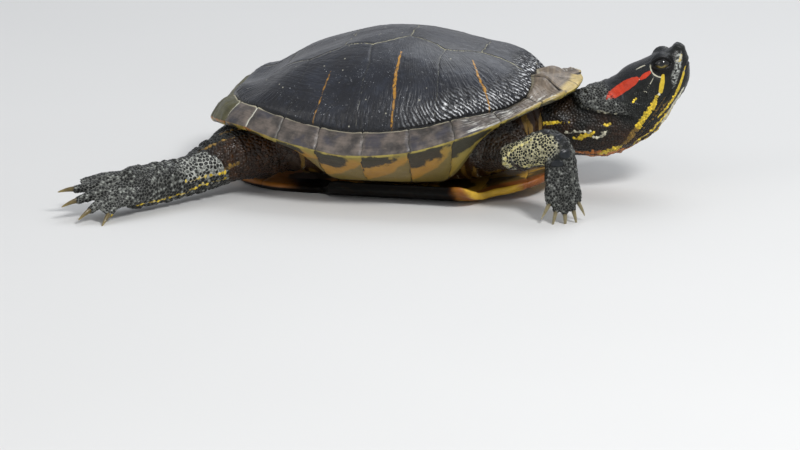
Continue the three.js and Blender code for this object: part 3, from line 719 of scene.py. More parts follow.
def make_rim():
    """The marginals: upper faces, the rim, and lower faces that come down as the bridges."""
    t = np.arange(RIM_COLUMNS) * 360 / RIM_COLUMNS
    bent = folded(t)
    bridge = bridge_share(t)
    inner_edge, rim = dome_point(t, 1), rim_point(t)
    raised = lambda a, b, bulge: (a + b) / 2 + np.asarray(bulge)[..., None] * (0, 0, 1)
    under = inside_rim(t, 0.9, -2.4)
    lip = lip_point(t, 0)
    bends = [inner_edge, raised(inner_edge, rim, marginal_bulge(t)), rim, under, raised(under, lip, -1.2), lip]
    path = smooth_path(np.array(bends))
    top_rows = np.linspace(0, 2, 30)
    low_rows = np.concatenate([np.linspace(2, 3, 8)[1:], np.linspace(3, 5, 34)[1:]])
    outer_rows = np.concatenate([top_rows, low_rows])
    outer = np.array([path(k) for k in outer_rows])
    inner = np.array([lip_point(t, lerp(2.2, 4.5, bridge)), dome_point(t, 1, SHELL_WALL)])
    points = np.concatenate([outer, inner]).reshape(-1, 3)
    rows = len(outer_rows) + len(inner)
    faces = facing_out(points, [ring_faces(rows, RIM_COLUMNS, looped=True)])
    count = len(outer_rows) * RIM_COLUMNS
    across = np.repeat(outer_rows, RIM_COLUMNS)
    angle = np.tile(bent, len(outer_rows))
    left = np.tile(t < 180, len(outer_rows))
    girth = reach_along(rim)
    girth_at = np.tile(girth, len(outer_rows))
    # The seams shake a little.
    skin = points[:count]
    lean = 0.25 * (across - 1) * (across < 2.2) + 0.45 * noise(skin, 5, 21)
    lean += 9 * np.clip(1 - across / 2, 0, 1) * smooth(angle, 34, 20)
    place = np.interp(angle + lean, bent[t <= 180], girth[t <= 180])
    seams = np.interp(MARGINAL_SEAMS, bent[t <= 180], girth[t <= 180])
    order = np.clip(np.searchsorted(seams, place), 1, len(seams) - 1)
    before, after = place - seams[order - 1], seams[order] - place
    seam = np.minimum(np.abs(before), np.abs(after))
    within = before / (seams[order] - seams[order - 1])
    within = np.where(place < seams[0], 0.5, within)
    seam = np.where(place < seams[0], seams[0] - place, seam)
    upper = 1 - smooth(across, 1.9, 2.15)
    lower = smooth(across, 2.7, 3.1)
    number = np.where(place < seams[0], 0, order)
    tone = np.sin(number * 12.9898 + np.where(left, 3.1, 0)) * 0.5
    relief = -0.55 * hump(seam, 0.6) + 0.2 * hump(seam - 2.4, 1.8) * upper
    relief += (0.55 * np.sin(np.pi * np.clip(across / 2, 0, 1)) - 0.12) * upper * smooth(seam, 0, 5)
    lengthwise = ridges(np.stack([girth_at / 14, across * 4.2, tone * 5], 1), 1, 22)
    relief += 0.3 * (lengthwise - 0.4) * upper * (0.3 + 0.7 * smooth(angle, 100, 60)) * smooth(angle, 15, 30)
    relief += 0.22 * rough_noise(skin, 5, 23) * upper + 0.12 * rough_noise(skin, 6, 24) * lower
    relief -= 0.25 * hump(across, 0.1)
    relief += 0.35 * hump(across - 2.05, 0.3)
    # The foremost marginals curl up into a saddle, and the rear ones have a faint notch at each seam.
    saddle = smooth(angle, 38, 26) * smooth(angle, 14, 19)
    saddled = hump(across - 0.35, 0.45) - 1.6 * hump(across - 1.15, 0.5) + 1.5 * hump(across - 1.9, 0.35)
    relief += saddle * upper * saddled
    curled = smooth(angle, 19, 15.5) * smooth(angle, 3, 7)
    relief += curled * upper * (2.6 * hump(across - 0.62, 0.5) - 1.0 * hump(across - 1.65, 0.4))
    crease = np.abs(place - seams[1])
    relief -= upper * 1.3 * hump(crease, 0.8) * smooth(across, 2.1, 1.5)
    growth = np.sin(2 * np.pi * (seam + 0.8 * noise(skin, 7, 25)) / MARGINAL_GROWTH_PITCH) * smooth(angle, 60, 30)
    relief += 0.16 * growth * upper
    relief -= 0.8 * smooth(angle, 118, 135) * hump(seam, 2.2) * hump(across - 2, 0.7)
    normals = normals_of(points, faces)[:count]
    points[:count] += normals * relief[:, None]
    marks = {
        "seam": seam, "across": across, "within": within, "angle": angle, "tone": tone, "crease": crease,
        "lie": np.stack([girth_at, across * 5, tone], 1),
    }
    fillers = {"seam": 9, "across": 5, "within": 0.5, "angle": 90, "crease": 99}
    return build("carapace_marginals", points, faces, marks, fillers)


def marginal_material():
    """Grey-brown above, blotched yellow and orange below."""
    p = Paint("marginal_horn")
    seam, across, within, angle, tone = p.values("seam across within angle tone")
    lie = p.vector("lie")
    cloud = p.noise(7, 5, 0.6)
    grey = p.mix(p.step(cloud, 0.3, 0.7), "322e2b", "6a6058")
    grey = p.mix(p.step(p.noise(12, 3), 0.48, 0.66) * 0.8, grey, "34333c")
    front = p.step(angle, 47, 36)
    grey = p.mix(front * 0.75, grey, p.mix(cloud, "4d443c", "8f7f6b"))
    tip = p.step(angle, 15.5, 13) * p.step(across, 1.35, 1.55)
    grey = p.mix(tip, grey, p.mix(cloud, "97814a", "c9b273"))
    grey = p.mix(front * p.step(across, 1.75, 2.0), grey, "b39d5e")
    grey = p.mix(p.step(angle, 142.5, 146), grey, p.mix(cloud, "2c2b19", "5d5a34"))
    # Painted shade in the deep crease between the first two marginals.
    crease = p.step(p.value("crease") + p.noise(3, 3) * 0.8, 1.7, 0.9)
    crease = crease * p.step(across, 2.15, 1.9)
    grain = p.grain(lie, (0.08, 1.1, 1), 4.0, 0.65)
    grey = p.shade(grey, p.between(grain, 0.3, 1.75))
    rings = p.step(p.math("SINE", across * 24.0 + cloud * 5.0), 0.2, 0.8)
    rings = rings * (p.step(angle, 19, 14) * p.step(across, 1.5, 1.3))
    grey = p.mix(rings * p.between(p.noise(4, 3), 0.1, 0.6), grey, "8c7d68")
    border = p.step(seam + cloud * 1.2, 2.1, 0.6)
    grey = p.mix(border * p.between(p.noise(3, 4, 0.7), 0.0, 0.35), grey, "8f887a")
    streaky = p.step(angle, 20, 26) * p.step(angle, 66, 60)
    streaky = streaky * p.step(grain, 0.5, 0.62)
    grey = p.mix(streaky * p.between(p.step(p.noise(6, 3), 0.4, 0.6), 0.25, 0.95), grey, "d2d1c8")
    behind = p.step(angle, 119, 129)
    top_edge = p.step(across + cloud * 0.16, 0.27, 0.14)
    grey = p.mix(top_edge * p.between(behind, 0.45, 0.9), grey, "c4bda2")
    # Below the rim: yellow horn with an orange middle, an olive foot and a black blotch behind each seam.
    below = p.mix(p.noise(9, 3), "7d7233", "a58f40")
    orange = p.step(across + p.noise(10, 3) * 0.9, 3.25, 3.9)
    below = p.mix(orange * p.step(angle, 62, 74), below, p.mix(cloud, "875d1c", "bb8c30"))
    low = across + within * -1.5 + p.noise(7, 3) * 0.5
    foot = p.step(low, 3.5, 3.7) * p.step(angle, 50, 60)
    foot = foot * p.step(angle, 118, 104)
    below = p.mix(foot * 0.85, below, p.mix(p.noise(4, 4), "544c29", "7a6e3c"))
    # The blotch runs forward from each scute's rear seam, right under the rim.
    ragged = (p.noise(7, 3, 0.55) - 0.5) * 1.1
    shape = (1.0 - within) * p.between(tone, 1.35, 0.95)
    depth = abs(across - 2.95) * 1.15
    blotch = shape ** 2.0 + depth ** 2.0
    blotch = p.math("SQRT", blotch) + ragged
    black = p.step(blotch, 1.02, 0.84)
    below = p.mix(black * 0.95, below, p.mix(p.noise(2.5, 4, 0.65), "0b0b07", "2a2a1b"))
    groove = p.step(seam + p.noise(2, 2) * 0.3, 0.62, 0.3)
    below = p.mix(groove * 0.85, below, "1a150c")
    line = p.step(abs(across - 2.3), 0.34, 0.18)
    colour = p.mix(p.step(across, 2.02, 2.16), grey, below)
    line = line * p.between(p.step(p.noise(5, 4), 0.44, 0.58), 0.05, 0.95)
    colour = p.mix(line, colour, p.mix(behind, "aa9a48", "a8682c"))
    pale_seam = p.step(seam + p.noise(1.5, 2) * 0.3, 0.75, 0.35) * p.step(across, 2.1, 2.0)
    dark_seam = pale_seam * (1.0 - behind)
    colour = p.mix(dark_seam * 0.8, colour, "1d1815")
    pale_seam = pale_seam * behind * p.step(p.noise(3, 4, 0.65), 0.3, 0.5)
    colour = p.mix(pale_seam, colour, "d0cebf")
    # The crease's painted shade.
    colour = p.mix(crease, colour, "120e0a")
    inner = p.step(across, 4.85, 5.0)
    colour = p.mix(inner, colour, "3a3220")
    height = grain * 0.8 + p.noise(1.1, 4, 0.65) * 0.35
    height = height + p.step(seam, 0.1, 0.55) * 0.5
    roughness = p.between(p.noise(6, 4, 0.65), 0.3, 0.6)
    return p.done(colour, roughness, p.bump(height, 0.35, 0.8), specular=0.5, coat=0.1, coat_roughness=0.2)


# ---------------------------------------------------------------- plastron
plastron_half_width = profile([
    (-88, 16), (-80, 28), (-62, 38), (-42, 41), (-32, 41.5), (-24, 56.6), (-10, 57.2), (36, 57.2), (49, 56),
    (59, 38.5), (70, 35.5), (82, 27), (91, 14),
])
PLASTRON_ENDS = (-91.6, 91.8)
# Cross seams of the plastron: gular, humeral, pectoral, abdominal, femoral and anal scutes lie between them.
PLASTRON_SEAMS = [(72, 0.16), (52, 0.05), (22, 0.0), (-27, 0.0), (-60, -0.18)]


def plastron_half(x):
    """Half the plastron's width, closed to a blunt curve at both ends, with a notch between the anal scutes."""
    front = np.sqrt(np.clip((PLASTRON_ENDS[1] - x) / (PLASTRON_ENDS[1] - 86), 0.02, 1))
    back = np.sqrt(np.clip((x - PLASTRON_ENDS[0]) / (-84 - PLASTRON_ENDS[0]), 0.02, 1))
    return plastron_half_width(x) * front * back


def plastron_bottom(x, y):
    """The height of the plastron's underside: flat, but raised at its ends and out to the bridges."""
    front = PLASTRON_FRONT_RISE * np.maximum(0, (x - 40) / 51) ** 1.5
    back = 2.2 * np.maximum(0, (-60 - x) / 28) ** 1.5
    wing = np.minimum(1, np.maximum(0, (np.abs(y) - 38) / 19) ** 1.7)
    return np.maximum(front, back) * (1 - wing) + WING_RISE * wing


def make_plastron():
    stations, low_columns, high_columns = 340, 150, 40
    x = lerp(PLASTRON_ENDS[0], PLASTRON_ENDS[1], 0.5 - 0.5 * np.cos(np.pi * np.linspace(0.02, 0.98, stations)))
    low = np.sin(np.pi / 2 * np.linspace(-1, 1, low_columns))
    high = np.sin(np.pi / 2 * np.linspace(1, -1, high_columns + 2)[1:-1])
    share = np.concatenate([low, high])
    is_low = np.arange(len(share)) < low_columns
    xs = np.repeat(x[:, None], len(share), 1)
    half = plastron_half(x)[:, None]
    ys = share[None, :] * half
    edge = PLASTRON_THICKNESS / 2
    turn = np.clip((np.abs(ys) - (half - edge)) / edge, 0, 1)
    rounding = edge * (1 - np.sqrt(1 - turn**2))
    bottom = plastron_bottom(xs, ys)
    zs = np.where(is_low[None, :], bottom + rounding, bottom + PLASTRON_THICKNESS - rounding)
    points = np.stack([xs, ys, zs], -1).reshape(-1, 3)
    ends = [[PLASTRON_ENDS[0], 0, zs[0].mean()], [PLASTRON_ENDS[1], 0, zs[-1].mean()]]
    points = np.concatenate([points, ends])
    faces = capped_faces(points, stations, len(share))
    px, py = points[:, 0] + 0.8 * noise(points, 7, 31), points[:, 1] + 0.7 * noise(points, 8, 32)
    seam = np.abs(py)
    for place, sweep in PLASTRON_SEAMS:
        seam = np.minimum(seam, np.abs(px - place - sweep * np.abs(py)))
    seam = np.minimum(seam, np.where(np.abs(px - 5) < 46, np.abs(np.abs(py) - 47), 9))
    scute = sum((px > place + sweep * np.abs(py)).astype(float) for place, sweep in PLASTRON_SEAMS)
    centre = np.interp(scute, range(6), [-72, -44, -3, 37, 62, 82])
    blotch = np.hypot((px - centre) / 13, (np.abs(py) - 21) / 14) + 0.35 * rough_noise(points, 9, 33)
    lift = np.where(points[:, 2] < 0.6, 0, 1)  # the flat that the turtle rests on stays flat
    relief = (0.12 * rough_noise(points, 6, 34) - 0.3 * hump(seam, 0.7)) * lift
    points += normals_of(points, faces) * relief[:, None]
    points[:, 2] = np.maximum(points[:, 2], 0)
    side = np.abs(points[:, 1]) / np.maximum(plastron_half(points[:, 0]), 1)
    return build("plastron_shell", points, faces, {"seam": seam, "blotch": blotch, "side": side})


def plastron_material():
    """Yellow horn that turns orange to the rear, with a smudged dark blotch on each scute. Painted shadow blackens its
    side under the bridges, and painted shade darkens the lower half of its side edge.
    """
    p = Paint("plastron_horn")
    seam, blotch, side = p.values("seam blotch side")
    x, z = p.axis(0), p.axis(2)
    rear = p.step(x + p.noise(20, 2) * 0.03, 0.02, -0.03)
    front = p.mix(p.noise(8, 4), "b5852a", "d8ab3c")
    back = p.mix(p.noise(8, 4), "94561a", "c98330")
    colour = p.mix(rear, front, back)
    dark = p.step(blotch, 1.0, 0.75) * p.step(side, 0.97, 0.86)
    colour = p.mix(dark * 0.85, colour, p.mix(p.noise(3, 3), "14120c", "2b2416"))
    groove = p.step(seam + p.noise(2, 2) * 0.3, 0.6, 0.25)
    colour = p.mix(groove * 0.75, colour, "2a1c0c")
    # Painted shadow: the side of the plastron under the bridges is made nearly black.
    far = x + p.noise(12, 3) * 0.012
    along_bridge = p.step(far, 0.057, 0.047) * p.step(far, -0.052, -0.038)
    wing = side + p.noise(9, 4, 0.65) * 0.16
    edge = p.step(wing, 0.66, 0.72) * along_bridge
    colour = p.mix(edge, colour, p.mix(p.noise(5, 3), "020202", "0b0804"))
    # Painted shade on the lower half of the plastron's side edge.
    painted_low_side_shade = p.step(z, 2.9 * MILLIMETRE, 1.9 * MILLIMETRE)
    colour = p.mix(painted_low_side_shade * p.step(side, 0.86, 0.93), colour, "0d0804")
    flank = p.step(side, 0.6, 0.75) * p.step(far, 0.045, 0.055)
    rust = p.mix(p.noise(6, 4, 0.6), "5a2c0e", "a8611f")
    flank = flank * (1.0 - painted_low_side_shade)
    colour = p.mix(flank, colour, rust)
    strip = p.step(side, 0.93, 0.965) * (p.step(far, 0.053, 0.06) * p.step(far, 0.085, 0.078))
    strip = strip * p.step(z, 2.0 * MILLIMETRE, 2.7 * MILLIMETRE)
    colour = p.mix(strip * 0.9, colour, p.mix(p.noise(6, 3), "c99a22", "ecc648"))
    stain = p.step(p.noise(5, 5, 0.7), 0.55, 0.8)
    colour = p.mix(stain * 0.45, colour, "4d3516")
    height = p.noise(2.2, 4, 0.6) * 0.5 + p.step(seam, 0.1, 0.5) * 0.5
    # Less specular in the painted shadow, so that it stays dark.
    gloss = p.between(edge, 0.45, 0.06)
    return p.done(colour, p.between(p.noise(5, 4), 0.35, 0.6), p.bump(height, 0.25, 0.7), specular=gloss)


# ---------------------------------------------------------------- flesh: lofts of oval sections
# A section is (x, y, z, half width, height above, depth below, power of its oval, 2 if not given).
TRUNK = [
    (-74, 0, 25, 36, 12, 14, 2.3), (-60, 0, 28, 47, 21.5, 21.5, 2.35), (-30, 0, 32.5, 54.5, 31.5, 27.6, 2.4),
    (10, 0, 37, 56.5, 36, 32, 2.4), (45, 0, 36.5, 50, 33, 30.5, 2.35), (64, 0, 36, 45, 23, 24.5, 2.3),
    (73, 0, 36, 38, 20, 19, 2.3),
]
NECK = [
    (70, 0.2, 36.4, 16, 17.4, 17.4), (82, 0.8, 36.5, 16.5, 18, 18), (97, 2.2, 36.6, 16.6, 15.9, 18.6, 2.1),
    (111, 4.4, 39.2, 16, 18.3, 21.4, 2.1), (122, 6.2, 45.2, 15.4, 17.6, 21.6, 2.1),
    (129, 7.4, 50.4, 15.1, 15.6, 22, 2.1),
]
TAIL = [
    (-71, 0, 27, 8.5, 7, 7), (-82, -1, 26.5, 7, 5.8, 5.8), (-96, -4, 20, 4.6, 4.2, 4.2),
    (-105, -6.5, 12.5, 3, 2.8, 2.8), (-111, -8.5, 7, 1.5, 1.4, 1.4),
]
# The skull is in the head's own frame: x along its axis to the snout, z to the crown.
SKULL = [
    (-30, 0, 0, 15, 19.2, 18.6, 2.1), (-20, 0, 0.5, 15.2, 17.9, 18, 2.2), (-12, 0, 0.2, 14.6, 15.4, 15.2, 2.35),
    (-5.5, 0, 0.4, 12.6, 13.5, 13.9, 2.4), (0, 0, 1.4, 10.4, 11.7, 11.9, 2.4), (4, 0, 2.6, 8.6, 8.6, 8.8, 2.35),
    (7.6, 0, 4.2, 6.9, 5.8, 5.8, 2.3), (10.2, 0, 5.8, 5.0, 3.9, 3.7, 2.2),
]
HAND = {
    "names": ("upper_arm", "forearm", "hand"),
    "palm": [
        (-3, 0, 0, 7.6, 6.4, 6.4), (6, 0, 0, 8.8, 5, 4.6), (14, 0, 0, 10.6, 3.8, 3),
        (20.5, 0, -0.8, 10.6, 1.1, 1),
    ],
    "count": 5, "clawed": 5, "spread": 60, "from": 6, "root": 2.9, "tip": 2.1, "length": 19, "droop": 1.2,
    "claw_length": 9, "claw_radius": 1.5, "claw_bend": 24,
}
FOOT = {
    "names": ("thigh", "shank", "foot"),
    "palm": [
        (-4, 0, 0, 10, 10, 10), (7, 0, 0, 12.4, 7.2, 6.4), (17, 0, 0, 15, 4.8, 3.8),
        (28.5, 0, -2, 16.4, 1.2, 1.1),
    ],
    "count": 5, "clawed": 4, "spread": 84, "from": 8, "root": 3.4, "tip": 2.3, "length": 28, "droop": 3.2,
    "claw_length": 9, "claw_radius": 1.7, "claw_bend": 17,
}
LEGS = {
    "front_right": {
        "kind": HAND,
        "upper": [(62, -37, 30.5, 11, 12, 12), (69, -44, 29.5, 9.6, 8.8, 9.2), (80, -56, 31.5, 8.6, 8, 8.4)],
        "lower": [
            (73, -53.5, 29.6, 8.6, 6.6, 6.8), (85, -58, 34.4, 8.8, 8.8, 9), (94.5, -60, 37.6, 8.8, 9.6, 9.6),
            (99.8, -61.5, 34.6, 8.6, 8.8, 8.6), (101.4, -63.6, 28.2, 9, 7.4, 7.6),
            (102.2, -66, 21.5, 9.4, 6.8, 6.8),
        ],
        "paddle": ((100.8, -64.5, 29), (0.2, -0.36, -0.9), (0.45, -0.8, 0.4)),
    },
    "front_left": {
        "kind": HAND,
        "upper": [(62, 36, 29.5, 11, 12, 12), (68, 46, 28.6, 11, 12.5, 12.5), (76, 60, 26, 10.5, 11.5, 11.5)],
        "lower": [
            (68, 46, 28, 10.5, 11.5, 11.5), (71, 58, 25.5, 10, 11, 11), (75.5, 70, 20, 9.4, 10.2, 10),
            (81, 80, 13.5, 8.6, 8.4, 8.4), (87, 88, 9, 7.8, 6.6, 6.6),
        ],
        "paddle": ((82, 82, 11), (0.74, 0.64, -0.24), (0.15, 0.1, 1)),
    },
    "hind_right": {
        "kind": FOOT,
        "upper": [
            (-58, -33, 23.4, 14, 14, 14), (-70, -42, 22, 14, 15, 14.5), (-87, -55, 19.5, 12.5, 12.6, 13),
            (-97, -64, 17, 11.5, 7.6, 12),
        ],
        "lower": [
            (-85, -53, 18.3, 12, 12, 12.4), (-100, -72, 15.2, 10.2, 9.4, 11.8),
            (-110, -84.5, 14.2, 9.8, 11, 11.8), (-123, -99, 13.6, 9.4, 11.2, 11.4),
        ],
        "paddle": ((-118.6, -95, 13.9), (-0.75, -0.66, -0.02), (0.2, -0.33, 0.92)),
    },
    "hind_left": {
        "kind": FOOT,
        "upper": [
            (-58, 33, 23.4, 14, 14, 14), (-70, 42, 22, 14, 14.5, 14), (-80, 55, 18.5, 13, 13, 13),
            (-86, 66, 15.5, 12, 12, 12),
        ],
        "lower": [
            (-76, 48, 20, 12.4, 12.6, 12.6), (-81.5, 60, 17, 11.6, 11.8, 11.6),
            (-85.5, 71, 13.4, 10.6, 10.6, 10.2), (-89, 82, 10.6, 9.8, 8.8, 8.8),
            (-92, 91, 8.8, 9.4, 7.4, 7.6),
        ],
        "paddle": ((-88, 81, 9.6), (-0.5, 0.86, -0.1), (-0.05, 0.08, 1)),
    },
}


class Place:
    """A frame of its own: x along forward, z leaning towards dorsal, y to the left of them."""

    def __init__(self, at, forward, dorsal):
        self.at = np.array(at, float)
        x = unit(np.array(forward, float))
        y = unit(np.cross(dorsal, x))
        self.axes = np.stack([x, y, np.cross(x, y)])

    def outward(self, points):
        return np.asarray(points) @ self.axes + self.at

    def inward(self, points):
        return (np.asarray(points) - self.at) @ self.axes.T

    def turned(self, directions):
        return np.asarray(directions) @ self.axes


yaw, pitch = math.radians(HEAD_YAW), math.radians(HEAD_PITCH)
HEAD_AXIS = (math.cos(pitch) * math.cos(yaw), math.cos(pitch) * math.sin(yaw), math.sin(pitch))
HEAD_CROWN = (-math.sin(pitch) * math.cos(yaw), -math.sin(pitch) * math.sin(yaw), math.cos(pitch))
HEAD = Place(HEAD_AT, HEAD_AXIS, HEAD_CROWN)
WORLD = Place((0, 0, 0), (1, 0, 0), (0, 0, 1))


# Rings of a loft's rounded end: share of its length, share of the section's size.
ROUND_END = ((0.4, 0.93), (0.75, 0.7), (0.93, 0.4))
LENGTHWISE_COUNTS = 2.5  # how much more a distance along a loft counts than one away from it


class Loft:
    """A body of oval sections along a smooth path, which also says where a point lies on it."""

    def __init__(self, sections, place=WORLD, between=6, sides=40, inset=SKIN_INSET, ends=(0.6, 0.6)):
        sections = np.array([(*section, 2)[:7] for section in sections], float)
        path = smooth_path(sections[:, :3])
        index = np.arange(len(sections))
        sizes = [profile(list(zip(index, column))) for column in sections[:, 3:].T]
        steps = np.linspace(0, len(sections) - 1, (len(sections) - 1) * between + 1)
        centre = np.array([path(k) for k in steps])
        ahead = np.array([path(min(k + 0.02, index[-1])) - path(max(k - 0.02, 0)) for k in steps])
        tangent = unit(ahead)
        side = unit(np.cross((0, 0, 1), tangent))
        self.centre = place.outward(centre)
        self.tangent = place.turned(tangent)
        self.side = place.turned(side)
        self.top = np.cross(self.tangent, self.side)
        wide, up, down, power = (size(steps) for size in sizes)
        self.wide, self.up, self.down = wide - inset, up - inset, down - inset
        self.power = power
        self.sides = sides
        self.ends = ends
        self.along = reach_along(self.centre)

    def ring(self, k, shrink=1, forward=0):
        a = turns(self.sides, 0.5)
        height = np.where(np.sin(a) > 0, self.up[k], self.down[k])
        across = (self.wide[k] * bent_to(self.power[k], np.cos(a)))[:, None] * self.side[k]
        upward = (height * bent_to(self.power[k], np.sin(a)))[:, None] * self.top[k]
        return self.centre[k] + self.tangent[k] * forward + shrink * (across + upward)

    def mesh(self):
        least = np.minimum(np.minimum(self.wide, self.up), self.down)
        last = len(self.centre) - 1
        rings = [self.ring(k) for k in range(last + 1)]
        for share, shrink in ROUND_END:
            rings.insert(0, self.ring(0, shrink, -share * self.ends[0] * least[0]))
            rings.append(self.ring(last, shrink, share * self.ends[1] * least[last]))
        poles = [
            self.centre[0] - self.tangent[0] * self.ends[0] * least[0],
            self.centre[last] + self.tangent[last] * self.ends[1] * least[last],
        ]
        points = np.concatenate([np.concatenate(rings), poles])
        return points, np.concatenate(capped_faces(points, len(rings), self.sides, split=True))

    def locate(self, points):
        """For each point: how near it is in the loft's own radii, its station, and its angle round the axis."""
        best = np.full(len(points), np.inf)
        station = np.zeros(len(points), int)
        for k in range(len(self.centre)):
            d = points - self.centre[k]
            radius = (self.wide[k] + self.up[k] + self.down[k]) / 3
            forward = d @ self.tangent[k]
            far = np.sqrt(np.maximum((d**2).sum(1) - forward**2, 0) + LENGTHWISE_COUNTS * forward**2) / radius
            nearer = far < best
            best = np.where(nearer, far, best)
            station = np.where(nearer, k, station)
        d = points - self.centre[station]
        angle = np.degrees(np.arctan2((d * self.top[station]).sum(1), (d * self.side[station]).sum(1)))
        return best, station, angle


def toe_course(kind, i):
    """Where a toe runs: a function of the reach along it, and how long it is."""
    share = i / (kind["count"] - 1) * 2 - 1
    angle = math.radians(share * kind["spread"] / 2)
    length = kind["length"] * (1 - 0.2 * share**2)
    reach = lambda d, drop: (kind["from"] + d * math.cos(angle), d * math.sin(angle), drop)
    return reach, length


def paddle_lofts(leg):
    kind, place = leg["kind"], Place(*leg["paddle"])
    lofts = [Loft(kind["palm"], place, ends=(0.5, 0.5))]
    for i in range(kind["count"]):
        out, length = toe_course(kind, i)
        root, tip, droop = kind["root"], kind["tip"], kind["droop"]
        pad = 0.4
        sections = [
            (*out(2, 0.4), root, root, root * 0.8),
            (*out(length * 0.3, 0.5 - droop * 0.12), root * 0.86, root * 0.88, root * 0.8),
            (*out(length * 0.5, 0.6 - droop * 0.25 + pad * 0.4), root * 0.92, root, root * 0.8),
            (*out(length * 0.66, 0.4 - droop * 0.4), root * 0.78, root * 0.78, root * 0.78),
            (*out(length * 0.84, 0.2 - droop * 0.7 + pad * 0.3), tip * 1.1, tip * 1.12, tip * 1.1),
            (*out(length, -droop), tip * 0.95, tip, tip),
        ]
        lofts.append(Loft(sections, place, between=4, sides=20, inset=0.15, ends=(0.5, 0.8)))
    return lofts


lofts = {
    "trunk": [Loft(TRUNK, sides=72)], "neck": [Loft(NECK, sides=56, ends=(0.4, 0.1))],
    "tail": [Loft(TAIL, ends=(0.4, 1))], "head": [Loft(SKULL, HEAD, sides=56, ends=(0.02, 0.5))],
}
for leg_name, leg in LEGS.items():
    lofts[leg_name] = [Loft(leg["upper"]), Loft(leg["lower"]), *paddle_lofts(leg)]


def ball_mesh(centre, radius, flattening, rings=18, columns=28):
    """A ball, flattened along z, in the head's frame."""
    lat = np.linspace(-np.pi / 2, np.pi / 2, rings + 2)[1:-1]
    lon = turns(columns)
    across = np.cos(lat)[:, None]
    height = np.repeat(np.sin(lat)[:, None], columns, 1)
    ball = np.stack([across * np.cos(lon), across * np.sin(lon), height], -1).reshape(-1, 3)
    ball = np.concatenate([ball, [[0, 0, -1], [0, 0, 1]]]) * (1, 1, flattening) * radius + centre
    points = HEAD.outward(ball)
    return points, np.concatenate(capped_faces(points, rings, columns, split=True))


def settle(piece):
    """Applies a piece's modifiers."""
    view = bpy.context.evaluated_depsgraph_get()
    mesh = bpy.data.meshes.new_from_object(piece.evaluated_get(view), depsgraph=view)
    piece.modifiers.clear()
    piece.data = mesh


LID_THICKNESS = 0.75
HIDDEN_HALF = (40, 58)  # within this length and width the flesh is wholly inside the shell
HIDDEN_THINNED = 0.9  # the share of the skin's faces there that goes
RELAXED = (0.5, 5)  # how strongly and how many times the joined skin is smoothed
MELTED = (0.6, 70)  # the same, where the skull and the neck meet
FINE_HEAD = (-31, 22)  # the skin is fine ahead of this place along the head's axis, and within this half width
TRUNK_YIELDS = 0.18  # how much nearer the trunk must be than a limb, to count as the skin's loft


def join_flesh():
    """One closed skin over all the lofts and the bulging lids, coarse in the shell and fine on the head."""
    bodies = [loft.mesh() for group in lofts.values() for loft in group]
    bodies += [ball_mesh(EYE_AT * (1, side, 1), EYE_RADIUS + LID_THICKNESS, EYE_FLATTENING) for side in (1, -1)]
    offsets = np.cumsum([0] + [len(points) for points, _ in bodies[:-1]])
    points = np.concatenate([points for points, _ in bodies])
    faces = np.concatenate([faces + offset for (_, faces), offset in zip(bodies, offsets)])
    skin = add_object("skin", make_mesh("skin", points, [faces]))
    remesh = skin.modifiers.new("remesh", "REMESH")
    remesh.mode = "VOXEL"
    remesh.voxel_size = SKIN_VOXEL * MILLIMETRE
    relax = skin.modifiers.new("relax", "SMOOTH")
    relax.factor, relax.iterations = RELAXED
    settle(skin)
    at = points_of(skin.data)
    in_shell = (np.abs(at[:, :2]) < HIDDEN_HALF).all(1)
    skin.vertex_groups.new(name="in_shell").add(np.flatnonzero(in_shell).tolist(), 1.0, "REPLACE")
    thin = skin.modifiers.new("thin", "DECIMATE")
    thin.vertex_group = "in_shell"
    thin.ratio = 1 - HIDDEN_THINNED * in_shell.mean()
    settle(skin)
    skin.vertex_groups.clear()
    refine_head(skin)
    melt_junction(skin)
    return skin


def melt_junction(skin):
    """Smooths the skin where the skull's body and the neck's meet."""
    a, _, b = mirrored(points_of(skin.data)).T
    weight = smooth(a, -37, -32) * np.maximum(smooth(a, -17, -22), smooth(a, -8, -15) * smooth(b, -11, -14))
    group = skin.vertex_groups.new(name="junction")
    for i in np.flatnonzero(weight > 0.05):
        group.add([int(i)], float(weight[i]), "REPLACE")
    melt = skin.modifiers.new("melt", "SMOOTH")
    melt.vertex_group = "junction"
    melt.factor, melt.iterations = MELTED
    settle(skin)
    skin.vertex_groups.clear()


def refine_head(skin):
    """Cuts the faces of the head finer, for its small folds."""
    work = bmesh.new()
    work.from_mesh(skin.data)
    at = HEAD.inward(points_of(skin.data))
    fine = set(np.flatnonzero((at[:, 0] > FINE_HEAD[0]) & (np.abs(at[:, 1]) < FINE_HEAD[1])).tolist())
    edges = [e for e in work.edges if e.verts[0].index in fine and e.verts[1].index in fine]
    bmesh.ops.subdivide_edges(work, edges=edges, cuts=1, use_grid_fill=True, smooth=0.0)
    bmesh.ops.triangulate(work, faces=[f for f in work.faces if len(f.verts) > 4])
    for face in work.faces:
        face.smooth = True
    work.to_mesh(skin.data)
    work.free()


def set_points(mesh, points):
    mesh.vertices.foreach_set("co", to_metres(points).astype(np.float32).ravel())
    mesh.update()


def directions_of(mesh):
    return read(mesh.vertex_normals, "vector").astype(float)


